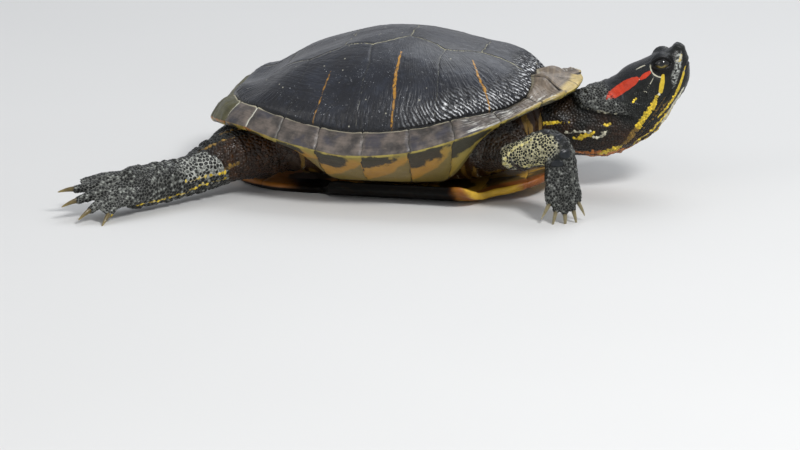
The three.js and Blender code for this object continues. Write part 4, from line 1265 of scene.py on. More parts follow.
class Whereabouts:
    """Which loft each point lies on, and where on it."""

    def __init__(self, points):
        self.group = np.full(len(points), -1)
        self.names = list(lofts)
        best = np.full(len(points), np.inf)
        zeros = lambda: np.zeros(len(points))
        self.angle, self.along, self.radius, self.part = zeros(), zeros(), zeros() + 5, zeros().astype(int)
        self.flow = np.tile([1.0, 0, 0], (len(points), 1))
        for g, name in enumerate(self.names):
            for part, loft in enumerate(lofts[name]):
                reach = max(loft.wide.max(), loft.up.max(), loft.down.max()) + 5
                low, high = loft.centre.min(0) - reach, loft.centre.max(0) + reach
                inside = np.flatnonzero(((points > low) & (points < high)).all(1))
                far, station, angle = loft.locate(points[inside])
                if name == "trunk":
                    far = far + TRUNK_YIELDS
                nearer = far < best[inside]
                at = inside[nearer]
                k = station[nearer]
                best[at], self.group[at], self.part[at] = far[nearer], g, part
                self.angle[at], self.along[at] = angle[nearer], loft.along[k]
                self.radius[at] = (loft.wide[k] + loft.up[k] + loft.down[k]) / 3
                self.flow[at] = loft.tangent[k]

    def on(self, *names):
        return np.isin(self.group, [self.names.index(n) for n in names])


LEG_NAMES = tuple(LEGS)
FRONT_LEGS, HIND_LEGS = LEG_NAMES[:2], LEG_NAMES[2:]


# ---------------------------------------------------------------- the head's and the limbs' modelling
EYE_OUTWARD = unit(np.array([0.16, 0.96, 0.2]))
EYE_OPENING = (58, 28)  # half the eye's opening in degrees, along it and up
EYE_OPENING_RISE = 3
EYE_TILT = -42
LID_EDGE = 5.05
MOUTH_CORNER = (-12.5, -7.8)
MOUTH_RISE = 12.5
NOSTRIL = np.array([11.6, 1.75, 7.5])
EARDRUM = np.array([-21.5, 14.6, 2.6])
EARDRUM_RADIUS = 4.4
EYE_REACH = 8.5  # how far from its eye's middle a lid goes
ORBIT_HALF = (6.7, 5.8)
HEAD_REACH = -60  # the fine folds of the head and the throat start here, along the head's axis
# Where the loose collar of the neck hangs over the throat's skin. Head's frame, y for the left side.
COLLAR = [
    (-50, 0, 29.5), (-48.6, 8.5, 26.9), (-48.2, 13.9, 21.0), (-43.5, 15.3, 13.0), (-37.5, 15.7, 5.7),
    (-33.5, 15.2, 0.5), (-31.5, 14.4, -3.5),
]


def mirrored(points):
    """Points in the head's frame, with both sides laid over the left one."""
    head = HEAD.inward(points)
    return np.stack([head[:, 0], np.abs(head[:, 1]), head[:, 2]], 1)


def tilted(fore, up):
    """Two lengths or directions, turned from the head's axis to the eye's slit."""
    tilt = math.radians(EYE_TILT)
    return fore * math.cos(tilt) + up * math.sin(tilt), up * math.cos(tilt) - fore * math.sin(tilt)


def eye_axes(side=1):
    """Outward from an eye, and along and across its slit. side is 1 for the left eye and -1 for the right."""
    out = EYE_OUTWARD * (1, side, 1)
    up = unit(np.cross(unit(np.cross(out, (0, 0, 1))), out))
    return out, *tilted(np.cross(out, up) * side, up)


def eye_angles(head):
    """Degrees along and across the eye's slit, the distance from its middle, and whether a mirrored point faces out."""
    d = head - EYE_AT
    out, fore, up = eye_axes()
    far = norms(d)
    n = d / np.maximum(far, 1e-6)[:, None]
    along = np.degrees(np.arctan2(n @ fore, np.maximum(n @ out, 0.02)))
    height = np.degrees(np.arctan2(n @ up, np.maximum(n @ out, 0.02)))
    return along, height, far, (n @ out) > 0.02


def beside_slit(head):
    """How far points lie from the eye, along the eye's slit and across it, in the head's side view."""
    return tilted(head[:, 0] - EYE_AT[0] - 0.3, head[:, 2] - EYE_AT[2] + 0.6)


def eye_opening(along, height):
    """0 at the middle of the eye's opening and 1 at the lids' edge."""
    return np.hypot(along / EYE_OPENING[0], (height - EYE_OPENING_RISE) / EYE_OPENING[1])


def mouth_height(head):
    """How far a point in the head's frame lies above the mouth's line."""
    rise = math.radians(MOUTH_RISE)
    return (head[:, 2] - MOUTH_CORNER[1]) * math.cos(rise) - (head[:, 0] - MOUTH_CORNER[0]) * math.sin(rise)


def shape_head(points, normals):
    """Lids, brow, lores, nostrils, mouth, eardrum and the fine folds of the head and throat."""
    head = mirrored(points)
    near = head[:, 0] > HEAD_REACH
    a, y, b = head.T
    by_line = lambda width, *line: hump(distance_to_line(head, line)[0], width)
    push = 0.55 * by_line(1.7, (-8, 8.6, 12.6), (-2, 8.8, 12.8), (3, 7, 11))
    push -= 0.75 * by_line(2.2, (5.5, 8.4, 4.5), (9, 5.8, 5.2))
    push += 0.35 * by_line(1.5, (6, 4.6, 9.2), (11, 2.6, 7.4))
    nostril = norms(head - NOSTRIL)
    push += 0.2 * hump(nostril - 1.3, 0.5) - 1.3 * hump(nostril, 0.75)
    gape = mouth_height(head)
    front = smooth(a, MOUTH_CORNER[0] - 1, MOUTH_CORNER[0] + 1.5) * (b < 6)
    push += front * (-0.75 * hump(gape, 0.42) + 0.3 * hump(gape - 1.0, 0.8) + 0.12 * hump(gape + 1.0, 0.7))
    push -= 0.5 * by_line(0.9, (-12.5, 13.2, -7.8), (-15, 13.8, -9.4))
    rim = np.abs(norms((head - EARDRUM) * (1, 0.5, 1)) - EARDRUM_RADIUS)
    push += 0.22 * hump(rim, 0.8) - 0.35 * smooth(norms(head - EARDRUM), 4.6, 3)
    along, height, far, faces_out = eye_angles(head)
    creases = np.sin(2 * np.pi * np.hypot(along / 1.15, height) / 9 + noise(points, 3, 41))
    around = smooth(far, 10.5, 7) * smooth(eye_opening(along, height), 1.1, 1.5)
    push += 0.1 * creases * around * faces_out
    soft = smooth(a, -14, -30) + smooth(gape, -3, -9)
    folds = ridges(np.stack([a + 2 * noise(points, 12, 42), y * 0.45, b * 0.35], 1), 3.4, 43)
    push += near * 0.22 * (folds - 0.4) * np.clip(soft, 0, 1) + 0.05 * rough_noise(points, 2.2, 44) * near
    moved = points + normals * (push * near)[:, None]
    # The lids' edge: what lies in the opening sinks behind the eyeball.
    head = HEAD.inward(moved)
    side = np.where(head[:, 1:2] < 0, -1.0, 1.0) * np.array([0, 1, 0]) + np.array([1, 0, 1])
    flat = head * side
    along, height, far, faces_out = eye_angles(flat)
    opening = eye_opening(along, height)
    sunk = smooth(opening, 1.06, 0.94) * faces_out * (far < EYE_REACH)
    edge = hump(opening - 1.2, 0.16) * faces_out * (far < EYE_REACH) * 0.3
    goal = lerp(far + edge, np.minimum(far, LID_EDGE - 0.7), sunk)
    flat = EYE_AT + (flat - EYE_AT) * (goal / np.maximum(far, 1e-6))[:, None]
    return np.where(near[:, None], HEAD.outward(flat * side), moved)


def ahead_of_collar(a, b):
    a_at, _, b_at = zip(*COLLAR[::-1])
    return a - np.interp(b, b_at, a_at)


def shape_neck(points, normals, where):
    """The loose collar behind the head, and long and cross folds."""
    neck = where.on("neck", "head")
    head = mirrored(points)
    a, y, b = head.T
    ahead = ahead_of_collar(a, b)
    extent = smooth(b, -5, 0)
    collar = np.where(ahead > 0, smooth(ahead, 16, 1), 0) * extent
    nape = a + 26.3 - (b - 2) * 0.158
    push = -0.4 * hump(nape, 2.4) * smooth(b, -6, 10)
    push -= 1.5 * hump(np.minimum(ahead, 0) + 4.5, 4) * smooth(b, -8, 2) * (ahead < 1)
    push += 1.1 * collar - 0.9 * hump(np.minimum(ahead, 0) + 1.3, 1.2) * (ahead < 0.3) * extent
    pleats = ridges(np.stack([ahead + 2.2 * noise(points, 14, 51), y * 0.3, b * 0.25], 1), 4.6, 52)
    push += 0.5 * (pleats - 0.35) * smooth(a, -28, -40)
    throat = smooth(b, -4, -14) * smooth(a, -24, -36)
    push += 0.45 * throat * (ridges(np.stack([a * 0.25, y * 1.0, 0 * a], 1), 3.1, 53) - 0.4)
    return points + normals * (push * neck)[:, None]


def shape_limbs(points, normals, where):
    """Cross wrinkles on the legs, creases at their joints, and the slack skin of the shell's openings."""
    push = np.zeros(len(points))
    legs = where.on(*LEG_NAMES)
    limb_skin = legs & (where.part < 2)
    along = where.along + 1.5 * noise(points, 11, 61)
    round_it = np.radians(where.angle)
    ringed = np.stack([along, np.sin(round_it) * 5, np.cos(round_it) * 5 + where.group * 9.0], 1)
    bands = ridges(ringed, (3.4, 14, 14), 62)
    strong = np.where(where.on(*HIND_LEGS), 0.95, 0.6)
    push += limb_skin * strong * (bands - 0.45)
    palm = legs & (where.part == 2)
    push += palm * 0.25 * (ridges(points, (4, 4, 4), 63) - 0.4)
    # Folds between the toes run back over the paddle.
    for name, leg in LEGS.items():
        kind, place = leg["kind"], Place(*leg["paddle"])
        near = np.flatnonzero(where.on(name) & (where.part >= 2))
        local = place.inward(points[near])
        out = local[:, 0] - kind["from"]
        turn = np.degrees(np.arctan2(local[:, 1], np.maximum(out, 0.5)))
        step = kind["spread"] / (kind["count"] - 1)
        between = np.cos(np.radians(turn / step * 360)) * (np.abs(turn) < kind["spread"] * 0.6)
        push[near] += 0.45 * between * smooth(out, 1, 8) * (where.part[near] == 2)
    pocket = where.on("trunk")
    x, y, z = points.T
    slack = ridges(np.stack([x + 3 * noise(points, 15, 64), y * 0.5, z * 0.18], 1), 5.2, 65)
    push += pocket * 1.5 * (slack - 0.45) * smooth(np.abs(x), 34, 46)
    push += where.on("tail") * 0.2 * np.sin(2 * np.pi * where.along / 2.6)
    return points + normals * push[:, None]


def shape_skin(skin):
    """Models the joined skin, and gives its points and where they lie."""
    mesh = skin.data
    points = points_of(mesh)
    where = Whereabouts(points)
    points = shape_neck(points, directions_of(mesh), where)
    points = shape_limbs(points, directions_of(mesh), where)
    set_points(mesh, points)
    points = shape_head(points, directions_of(mesh))
    points[:, 2] = np.maximum(points[:, 2], 0.02)
    set_points(mesh, points)
    return points, where


# ---------------------------------------------------------------- markings, for skin and scales alike
# Stripes of the head and neck: corners in the head's frame with y for the left side, then half the width.
HEAD_MARKS = {
    "red": [
        [(-16.4, 12.3, 10.6, 1.3), (-18.5, 12.2, 11.0, 2.1), (-22.3, 12, 11.9, 2.5), (-28, 13, 13.1, 2.6),
         (-31, 13.2, 13.5, 2.3), (-33.6, 13.4, 13.9, 1.2)],
        [(-9, 12, 8.4, 0.8), (-12, 12.4, 8.9, 1.3), (-14.4, 12.8, 9.4, 0.8)],
    ],
    "yellow": [
        [(-4.9, 12.1, 2.2, 0.8), (-7.3, 13, 0.2, 1.3), (-11.4, 14.3, -2.7, 1.2)],
        [(-14.8, 14.7, -3.4, 0.9), (-20.3, 14.2, -5.9, 1.4), (-26.9, 13.4, -6.9, 1.5), (-30.1, 13.2, -7.8, 1.3),
         (-33.8, 13.2, -8.3, 1.7)],
        [(-48.2, 10.6, -10.4, 0.8), (-51.5, 10.8, -9.2, 1.5), (-54.2, 10.9, -8.1, 1.2), (-59.8, 10, -5.8, 0.9)],
        [(7, 3.6, -2.6, 0.3), (2, 8.2, -5.7, 0.6), (-4.1, 9.9, -8.8, 0.75), (-10.1, 10.1, -10.9, 0.6),
         (-16.8, 10.4, -12.2, 0.6), (-23.4, 11.2, -12.6, 0.3)],
        [(-26.4, 15, 3.2, 0.4), (-23.2, 14.9, 3.6, 0.4)],
        [(-69.7, 16.3, 29, 0.7), (-63.8, 16.6, 24.7, 0.9), (-57.6, 16.9, 19.1, 0.4)],
        [(-62.6, 17, 10.9, 0.5), (-59.6, 16.9, 9.3, 1.1), (-56.1, 16.6, 7.6, 1.2), (-52.5, 16.3, 5.7, 0.4)],
        [(-46.6, 16.1, 4.6, 0.2), (-44.4, 16.0, 3.9, 0.9), (-42.4, 15.8, 3.1, 0.3)],
        [(8.6, 5.4, 2.6, 0.5), (6.2, 7.0, 1.2, 0.7), (4.9, 8.1, 2.6, 0.35)],
        [(-40, 0, 23.5, 0.5), (-60, 0, 27, 0.7), (-80, 0, 30, 0.6)],
    ],
    "pale": [
        [(-1.4, 9.4, 13.6, 0.1), (-4.6, 9.2, 14, 0.3), (-9.9, 8.2, 15, 0.3), (-12.4, 7.6, 15.4, 0.1)],
        [(-2.8, 7, -11.1, 0.5), (-10.5, 6.5, -13.3, 1.1), (-17.2, 5.7, -15.2, 1.2), (-24.7, 6.2, -17.3, 0.8)],
        [(-11.6, 14.3, -2.8, 0.5), (-14.8, 14.6, -3.4, 0.45)],
        [(-48.8, 8.5, 26.9, 0.15), (-48.4, 13.9, 21.0, 0.3), (-43.7, 15.3, 13.0, 0.35), (-37.6, 15.7, 5.7, 0.35),
         (-33.9, 15.2, 0.5, 0.15)],
        [(-14.8, 12.5, 9.4, 0.3), (-16.8, 12.4, 10.3, 0.4)],
        [(-16.1, 14.8, 3, 0.12), (-12.5, 14.2, 4.1, 0.28), (-8.5, 12.9, 5.3, 0.12)],
        [(-19.6, 14.9, 4.2, 0.1), (-17.9, 15, 3.6, 0.4), (-16.7, 14.8, 1.6, 0.15)],
        [(-8.6, 8.4, 12.4, 0.2), (-11.5, 7.4, 13.3, 0.35), (-14.5, 7.7, 14.0, 0.2)],
        [(3.6, 6.6, 9.6, 0.2), (5.2, 5.6, 9.2, 0.4), (7.5, 4.5, 8.3, 0.2)],
        [(-69, 16.8, 20, 0.15), (-62, 17, 15.5, 0.35), (-56.5, 16.9, 11.2, 0.5), (-52.5, 16.4, 6.4, 0.15)],
        [(-54.4, 16.5, 4.2, 0.2), (-51.4, 16.3, 1.6, 0.8), (-48.6, 15.9, 1.4, 0.7), (-46.3, 15.6, 2.4, 0.2)],
    ],
    "olive": [
        [(-33.8, 13.2, -8.3, 1.5), (-39.9, 12.7, -9.7, 1.7), (-43.4, 11.6, -10.7, 1.2), (-48.2, 10.6, -10.4, 0.6)],
        [(-12, 13.4, -7.0, 0.3), (-17, 13.6, -8.2, 0.3), (-24, 13.0, -9.6, 0.2)],
        [(-13, 11.8, -9.6, 0.25), (-21, 12.3, -11.0, 0.2), (-30, 12.6, -11.2, 0.4), (-40, 10, -13.2, 0.3)],
    ],
    "orange": [
        [(-68, 12.8, 4.4, 1.0), (-62.8, 12.1, -1.3, 1.3), (-56, 9.6, -7.4, 1.1), (-50, 7.4, -12.3, 0.6)],
        [(-66, 5.5, -1.5, 1.5), (-58, 4.6, -7.8, 1.4), (-50, 3.8, -13.4, 1.1), (-40.7, 2.8, -17.4, 0.6)],
        [(-53.4, 11.0, -8.9, 0.9), (-60, 10.6, -4.9, 1.0), (-63, 11.5, -1.0, 0.5)],
    ],
}
# The white streaked line from the snout below the eye to the mouth's corner.
LORE = [(8, 6.5, 3.4), (4.6, 8.3, 0.5), (-1, 10.8, -2.7), (-8, 8.5, -7.1)]
# Marks of the right legs: distance along the loft, degrees round it, then half the width.
FRONT_MARKS = [
    [(0.5, 192, 0.6), (1.5, 180, 1.0), (5.5, 160, 0.8), (11, 147, 0.7), (19, 137, 0.4)],
    [(0.5, 198, 0.7), (2.5, 212, 1.2), (8, 226, 1.2), (15, 236, 1.1), (22.6, 243, 0.9), (28, 247, 0.5)],
    [(45.5, 29, 0.5), (47.3, 26, 1.2), (49.8, 21, 1.2), (52, 18, 0.5)],
    [(43, 214, 0.6), (46, 212, 1.0), (48, 212, 0.5)],
]
HIND_MARKS = [
    [(32, -6, 0.3), (24, -2, 0.6), (18, -2, 0.8), (12.5, -6, 0.5), (4, -9, 0.3)],
    [(60, -52, 0.4), (46, -49, 0.5), (32.5, -45, 0.5), (20.6, -30, 0.5), (4.1, -29, 0.3)],
]
THIGH_MARKS = [
    [(49, 78, 0.3), (44, 76, 0.6), (39.5, 72, 0.6), (35, 66, 0.5), (29.7, 62, 0.4), (20, 60, 0.3)],
    [(38, -11, 0.7), (33, -8, 0.9), (28, -4, 0.5)],
    [(30, 92, 0.4), (22, 86, 0.7), (14, 84, 0.4)],
]
MARK_KINDS = ("red", "yellow", "pale", "olive", "orange", "straw")
OUTSIDE = -2  # the depth in a band of points that are far from it


def band_depth(points, line, flatten=1):
    """How deep points lie inside a band: positive in it. The last number of each corner is half its width."""
    line = np.array(line, float)
    corners, half = line[:, :-1], line[:, -1]
    if flatten != 1:  # the breadth of the head counts for less, so that a band follows its surface
        points, corners = points * (1, flatten, 1), corners * (1, flatten, 1)
    low, high = corners.min(0) - 4, corners.max(0) + 4
    depth = np.full(len(points), float(OUTSIDE))
    near = np.flatnonzero(((points > low) & (points < high)).all(1))
    if len(near):
        far, along = distance_to_line(points[near], corners)
        places = reach_along(corners)
        depth[near] = np.maximum(OUTSIDE, np.interp(along, places / places[-1], half) - far)
    return depth


def leg_sheet(where, name):
    """Degrees round a leg, from 0 to 360, counted as on a right one."""
    return (where.angle if name.endswith("right") else 180 - where.angle) % 360


def markings(points, where):
    """What the materials need to know at each point of the flesh."""
    head = mirrored(points)
    wobble = 0.16 * noise(points, 1.6, 71)
    on_head = where.on("head", "neck")
    depth = {kind: np.full(len(points), float(OUTSIDE)) for kind in MARK_KINDS}

    def show(kind, shown, values):
        depth[kind] = np.maximum(depth[kind], np.where(shown, values, OUTSIDE))

    for kind, lines in HEAD_MARKS.items():
        for line in lines:
            show(kind, on_head, band_depth(head, line, 0.4))
    d_a, d_b = beside_slit(head)
    rim_of_orbit = np.hypot(d_a / ORBIT_HALF[0], d_b / ORBIT_HALF[1])
    # Round the eye: the lids' own dark skin, made blacker and wider by painted shade.
    dark_lids_and_painted_shade = on_head * smooth(rim_of_orbit, 1.04, 0.92) * (head[:, 1] > 4.5)
    behind = smooth(d_b, 1.4, 0.2) * smooth(d_a, -0.4, -1.8) * on_head
    ring = 0.34 - 6.2 * np.abs(rim_of_orbit - 1.02)
    show("pale", (behind > 0.5) & (head[:, 1] > 4.5), ring)
    for name in LEG_NAMES:
        angle = leg_sheet(where, name)
        is_front = name in FRONT_LEGS
        for part, marks in [(1, FRONT_MARKS)] if is_front else [(1, HIND_MARKS), (0, THIGH_MARKS)]:
            chosen = np.flatnonzero(where.on(name) & (where.part == part))
            radius = where.radius[chosen]
            kind = "straw" if is_front else ("olive", "yellow")[part]
            for line in marks:
                middle = np.mean([corner[1] for corner in line])
                turned = wrapped(angle[chosen] - middle) + middle
                flat = np.stack([where.along[chosen], np.radians(turned) * radius], 1)
                mean_radius = radius.mean()
                flat_line = [(a, math.radians(t) * mean_radius, w) for a, t, w in line]
                flat[:, 1] *= mean_radius / np.maximum(radius, 1)
                depth[kind][chosen] = np.maximum(depth[kind][chosen], band_depth(flat, flat_line))
    a, y, b = head.T
    x, _, z = points.T
    # The throat's stripes, seen only from below.
    lines_under = 1.0 - np.abs((y - 1.2 + 0.5 * noise(points, 9, 72)) % 4.6 - 2.3)
    under = smooth(b, -12.5, -15.5) * smooth(a, -6, -14) * on_head
    show("yellow", under > 0.5, np.minimum(lines_under - 0.2, under - 0.4))
    ahead = ahead_of_collar(a, b)
    hood = on_head * smooth(a, -29.5, -33.5) * smooth(ahead, -0.5, 0.6) * smooth(b, -2, 4)
    cheek = on_head * smooth(a, -17, -22) * smooth(b, 9, 6) * smooth(b, -7, -3) * 0.6
    lore = on_head * np.clip(1.9 - distance_to_line(head, LORE)[0] * 0.85, 0, 1)
    legs = where.on(*LEG_NAMES)
    sheet = np.where(where.on("front_left", "hind_left"), 180 - where.angle, where.angle) % 360
    front = where.on(*FRONT_LEGS)
    hind = where.on(*HIND_LEGS)
    arm = front & (where.part == 1)
    between = np.zeros(len(points))
    rear_arm = arm * smooth(where.along, 36, 24) * smooth(np.abs(sheet - 175), 85, 50)
    between += 0.95 * rear_arm + 0.22 * (arm - rear_arm).clip(0) + 0.2 * (front & (where.part > 1))
    thigh, shank = hind & (where.part == 0), hind & (where.part == 1)
    white_shank = shank * smooth(where.along, 36, 28) * smooth(np.abs(wrapped(sheet) - 40), 55, 35)
    between += 0.95 * white_shank + 0.26 * (shank - white_shank).clip(0) + 0.36 * (hind & (where.part > 1))
    between *= smooth(plate_nearness(where), 0.9, 1.35)
    between += 0.04 * thigh + 0.12 * (front & (where.part == 0)) + 0.24 * hood
    warm = rear_arm * 0.8
    pocket = where.on("trunk")
    brown = pocket * 0.9 + 0.9 * thigh * smooth(where.along, 46, 34) * smooth(folded(sheet), 75, 45)
    brown += 0.5 * (front & (where.part == 0))
    lower_neck = on_head * smooth(a, -34, -44) * smooth(ahead, 1, -3)
    brown = np.maximum(brown, lower_neck * (0.3 + 0.5 * noise(points, 7, 73)).clip(0, 0.8))
    brown = np.maximum(brown, under * 0.85)
    brown = np.maximum(brown, on_head * smooth(b, 0, -8) * smooth(a, -32, -42) * 0.8)
    fold_at = x * 0.55 + 3.0 * noise(points, 16, 74)
    stripe_pocket = pocket * (0.9 - 0.75 * np.abs(fold_at % 4.4 - 2.2) - 0.25)
    show("olive", pocket, stripe_pocket + 0.25 * noise(points, 7, 75))
    edge_lines = pocket * (0.05 - np.abs((fold_at + 0.9) % 8.8 - 4.4) * 0.6)
    show("pale", pocket & (np.abs(x) > 38), edge_lines)
    toes = legs & (where.part > 2)
    low_toes = toes * smooth(z, 5.5, 2.5) * smooth(where.along, 8, 14)
    show("yellow", low_toes > 0.5, 0.35 + 0.6 * noise(points, 4, 76))
    crown = on_head * smooth(a, -36, -30) * smooth(b, 6, 11)
    return {
        **{kind: depth[kind] + wobble for kind in MARK_KINDS},
        "between": np.clip(between, 0, 1), "warm": warm, "dark_lids_and_painted_shade": dark_lids_and_painted_shade, "brown": np.clip(brown, 0, 1),
        "cheek": cheek, "lore": lore, "crown": crown,
    }


def flesh_colour(p):
    """The flesh's colour from its marks: dark ground, brown slack skin, and the stripes over them."""
    cloud = p.noise(5, 4, 0.6)
    dark = p.mix(cloud, "080908", "1c1e1b")
    dark = p.mix(p.value("crown") * 0.75, dark, p.mix(p.noise(1.3, 3), "0e1013", "24282d"))
    slack = p.mix(p.noise(6, 4, 0.6, stretch=(1.6, 1, 0.5)), "0b0603", "41260f")
    colour = p.mix(p.value("brown"), dark, slack)
    # Near black round the eye: dark lids and painted shade.
    colour = p.mix(p.value("dark_lids_and_painted_shade") * 0.95, colour, "030303")
    over = [
        ("straw", "a79c5c", "dfd48c"),
        ("orange", "8d4a1c", "c07a35"),
        ("olive", "54421c", "87692f"),
        ("pale", "a9a58c", "d9d6c2"),
        ("yellow", "a8871c", "ecd042"),
        ("red", "a8240c", "d8492a"),
    ]
    for kind, low, high in over:
        inside = p.step(p.value(kind), -0.1, 0.12)
        colour = p.mix(inside, colour, p.mix(p.noise(1.6, 4, 0.65), low, high))
    return colour


def skin_material():
    """Dark wet skin: fine pale creases between its grains, and the same markings as the scales."""
    p = Paint("turtle_skin")
    creased = p.step(p.cells(0.85, "DISTANCE_TO_EDGE"), 0.13, 0.03)
    pale = p.mix(p.value("warm"), "c2c4bc", "e6dea8")
    pale = p.shade(pale, p.between(p.noise(2.5, 3), 0.5, 1.35))
    colour = flesh_colour(p)
    broken = p.step(p.noise(1.4, 4, 0.7), 0.36, 0.56)
    colour = p.mix(p.value("between") * p.between(broken, 0.35, 1.0), colour, pale)
    flecks = p.step(p.noise(1.1, 5, 0.75, stretch=(1, 1, 0.5)), 0.57, 0.66)
    colour = p.mix(flecks * p.value("cheek") * 0.8, colour, "8f928a")
    streaks = p.step(p.noise(1.3, 4, 0.7), 0.42, 0.6)
    colour = p.mix(streaks * p.value("lore"), colour, "b4b7b0")
    grain = creased * -0.6 + p.noise(0.7, 4, 0.6) * 0.8
    roughness = p.between(p.noise(4, 4, 0.65), 0.22, 0.48)
    return p.done(colour, roughness, p.bump(grain, 0.16, 0.7), specular=0.24, coat=0.08, coat_roughness=0.14)


def scale_material():
    """The skin's markings on separate scales, each with its own tone, duller at its foot, and a painted highlight on
    the crowns of some lighter scales.
    """
    p = Paint("turtle_scales")
    colour = flesh_colour(p)
    colour = p.shade(colour, p.between(p.value("tone"), 0.5, 1.6))
    # Painted highlight: pale glints on the crowns of the lighter scales.
    painted_scale_glint = p.step(p.value("tone"), 0.72, 0.92) * p.step(p.value("lift"), 0.5, 0.95)
    painted_scale_glint = painted_scale_glint * p.step(p.value("between"), 0.0, 0.35)
    painted_scale_glint = painted_scale_glint * p.step(p.value("brown"), 0.6, 0.2)
    colour = p.mix(painted_scale_glint * 0.8, colour, p.mix(p.value("warm"), "a0a39c", "c9c19a"))
    foot = p.step(p.value("lift"), 0.3, 0.0)
    colour = p.mix(foot * (p.value("between") * 0.7), colour, p.mix(p.value("warm"), "b4b6ae", "dcd39c"))
    roughness = p.between(p.noise(2.5, 3, 0.6), 0.2, 0.42)
    grain = p.noise(0.35, 3, 0.6)
    return p.done(colour, roughness, p.bump(grain, 0.05, 0.5), specular=0.26, coat=0.1, coat_roughness=0.12)


# ---------------------------------------------------------------- scales
def triangles_of(mesh):
    mesh.calc_loop_triangles()
    return read(mesh.loop_triangles, "vertices", 3, np.int32)


# Dark plates on the front of the forearm: along it, degrees round it, their length along it and their width.
BIG_PLATES = [(23.6, 106, 2.8, 4.2), (27.1, 106, 4.4, 6.2), (31.7, 109, 5.4, 7.2), (36.2, 116, 4.0, 7.8)]
PLATE_TONES = (0.6, 0.7, 0.72, 0.66)
PLATE_HEIGHT = 0.55
PLATE_CREASE = 0.12
PLATE_SQUARENESS = 2.6


def squared(a, b):
    """How far out a place lies in a rounded square, whose edge is at 1."""
    return (np.abs(a) ** PLATE_SQUARENESS + np.abs(b) ** PLATE_SQUARENESS) ** (1 / PLATE_SQUARENESS)


def plate_nearness(where):
    """0 in the middle of a big plate of a forearm, 1 at its edge."""
    near = np.full(len(where.along), 9.0)
    for name in FRONT_LEGS:
        sheet = leg_sheet(where, name)
        for along, turn, length, width in BIG_PLATES:
            round_it = np.radians(wrapped(sheet - turn)) * where.radius
            off = squared((where.along - along) / length * 2, round_it / width * 2)
            near = np.where(where.on(name) & (where.part == 1), np.minimum(near, off), near)
    return near


def scale_spacing(points, where):
    """How far apart the scales' middles are, in millimetres, or 0 where there are none."""
    head = mirrored(points)
    a, _, b = head.T
    size = np.zeros(len(points))
    on_head = where.on("head", "neck")
    size = np.where(on_head, np.interp(a, [-60, -45, -34, -24, -15], [1.5, 1.35, 1.15, 1.0, 0.95]), size)
    smooth_skull = (a > -31) & (b > 4.5 + 0.1 * (a + 20))
    size = np.where(on_head & (smooth_skull | (a > -13)), 0, size)
    size = np.where(on_head & (a > -13) & (mouth_height(head) < -2.4) & (a < -4), 0.95, size)
    front, hind = where.on(*FRONT_LEGS), where.on(*HIND_LEGS)
    arm = np.interp(where.along, [0, 14, 24, 45, 58], [1.35, 1.35, 1.4, 1.35, 1.2])
    arm = np.where(plate_nearness(where) < 0.96, 0, arm)
    part = where.part
    size = np.where(front, np.choose(np.minimum(part, 3), [2.0, arm, 1.25, 1.05]), size)
    shank = np.interp(where.along, [0, 20, 50], [1.6, 1.75, 1.5])
    size = np.where(hind, np.choose(np.minimum(part, 3), [1.9, shank, 1.45, 1.2]), size)
    size = np.where(where.on("tail"), 1.3, size)
    return size


def hidden_in_shell(points):
    """Where no scale would be seen."""
    x, y, _ = points.T
    return (np.abs(x) < 50) & (np.abs(y) < 56 - 0.15 * np.abs(x))


SEEDS_TRIED = 5.0  # for each scale that there is room for
SEED_GAP = 0.86


def tree_of(at):
    tree = KDTree(len(at))
    for i, p in enumerate(at):
        tree.insert(p, i)
    tree.balance()
    return tree


def seed_scales(skin, where):
    """Well spaced roots on the skin: their places, normals, and which skin point is nearest."""
    points, faces = points_of(skin.data), triangles_of(skin.data)
    normals = directions_of(skin.data)
    spacing = scale_spacing(points, where)
    spacing[hidden_in_shell(points)] = 0
    corners = points[faces]
    area = norms(np.cross(corners[:, 1] - corners[:, 0], corners[:, 2] - corners[:, 0])) / 2
    size = spacing[faces].mean(1)
    wanted = np.where((spacing[faces] > 0).all(1), SEEDS_TRIED * area / np.maximum(size, 0.5) ** 2, 0)
    count = RANDOM.poisson(wanted)
    face = np.repeat(np.arange(len(faces)), count)
    face = face[RANDOM.permutation(len(face))]
    u, v = RANDOM.random((2, len(face)))
    flip = u + v > 1
    u, v = np.where(flip, 1 - u, u), np.where(flip, 1 - v, v)
    weights = np.stack([1 - u - v, u, v], 1)
    at = np.einsum("ij,ijk->ik", weights, points[faces[face]])
    up = unit(np.einsum("ij,ijk->ik", weights, normals[faces[face]]))
    gap = np.einsum("ij,ij->i", weights, spacing[faces[face]])
    home = faces[face, 0]
    tree = tree_of(at)
    free = np.ones(len(at), bool)
    kept = []
    for i in range(len(at)):
        if free[i]:
            kept.append(i)
            for _, j, _ in tree.find_range(at[i], gap[i] * SEED_GAP):
                free[j] = False
    return at[kept], up[kept], gap[kept], home[kept]


def neighbours(at, count=8):
    """The nearest other places of each place."""
    tree = tree_of(at)
    return np.array([[at[j] for _, j, _ in tree.find_n(p, count + 1)[1:]] for p in at])


SCALE_SIDES = 7
SCALE_REACH = (0.22, 0.85)  # the least and the most, in shares of the spacing
# Rings of a scale from its foot to its crown: share of its reach, share of its height.
SCALE_RINGS = ((1.0, 0.0), (0.93, 0.62), (0.6, 0.95))
SCALE_SINK = 0.14


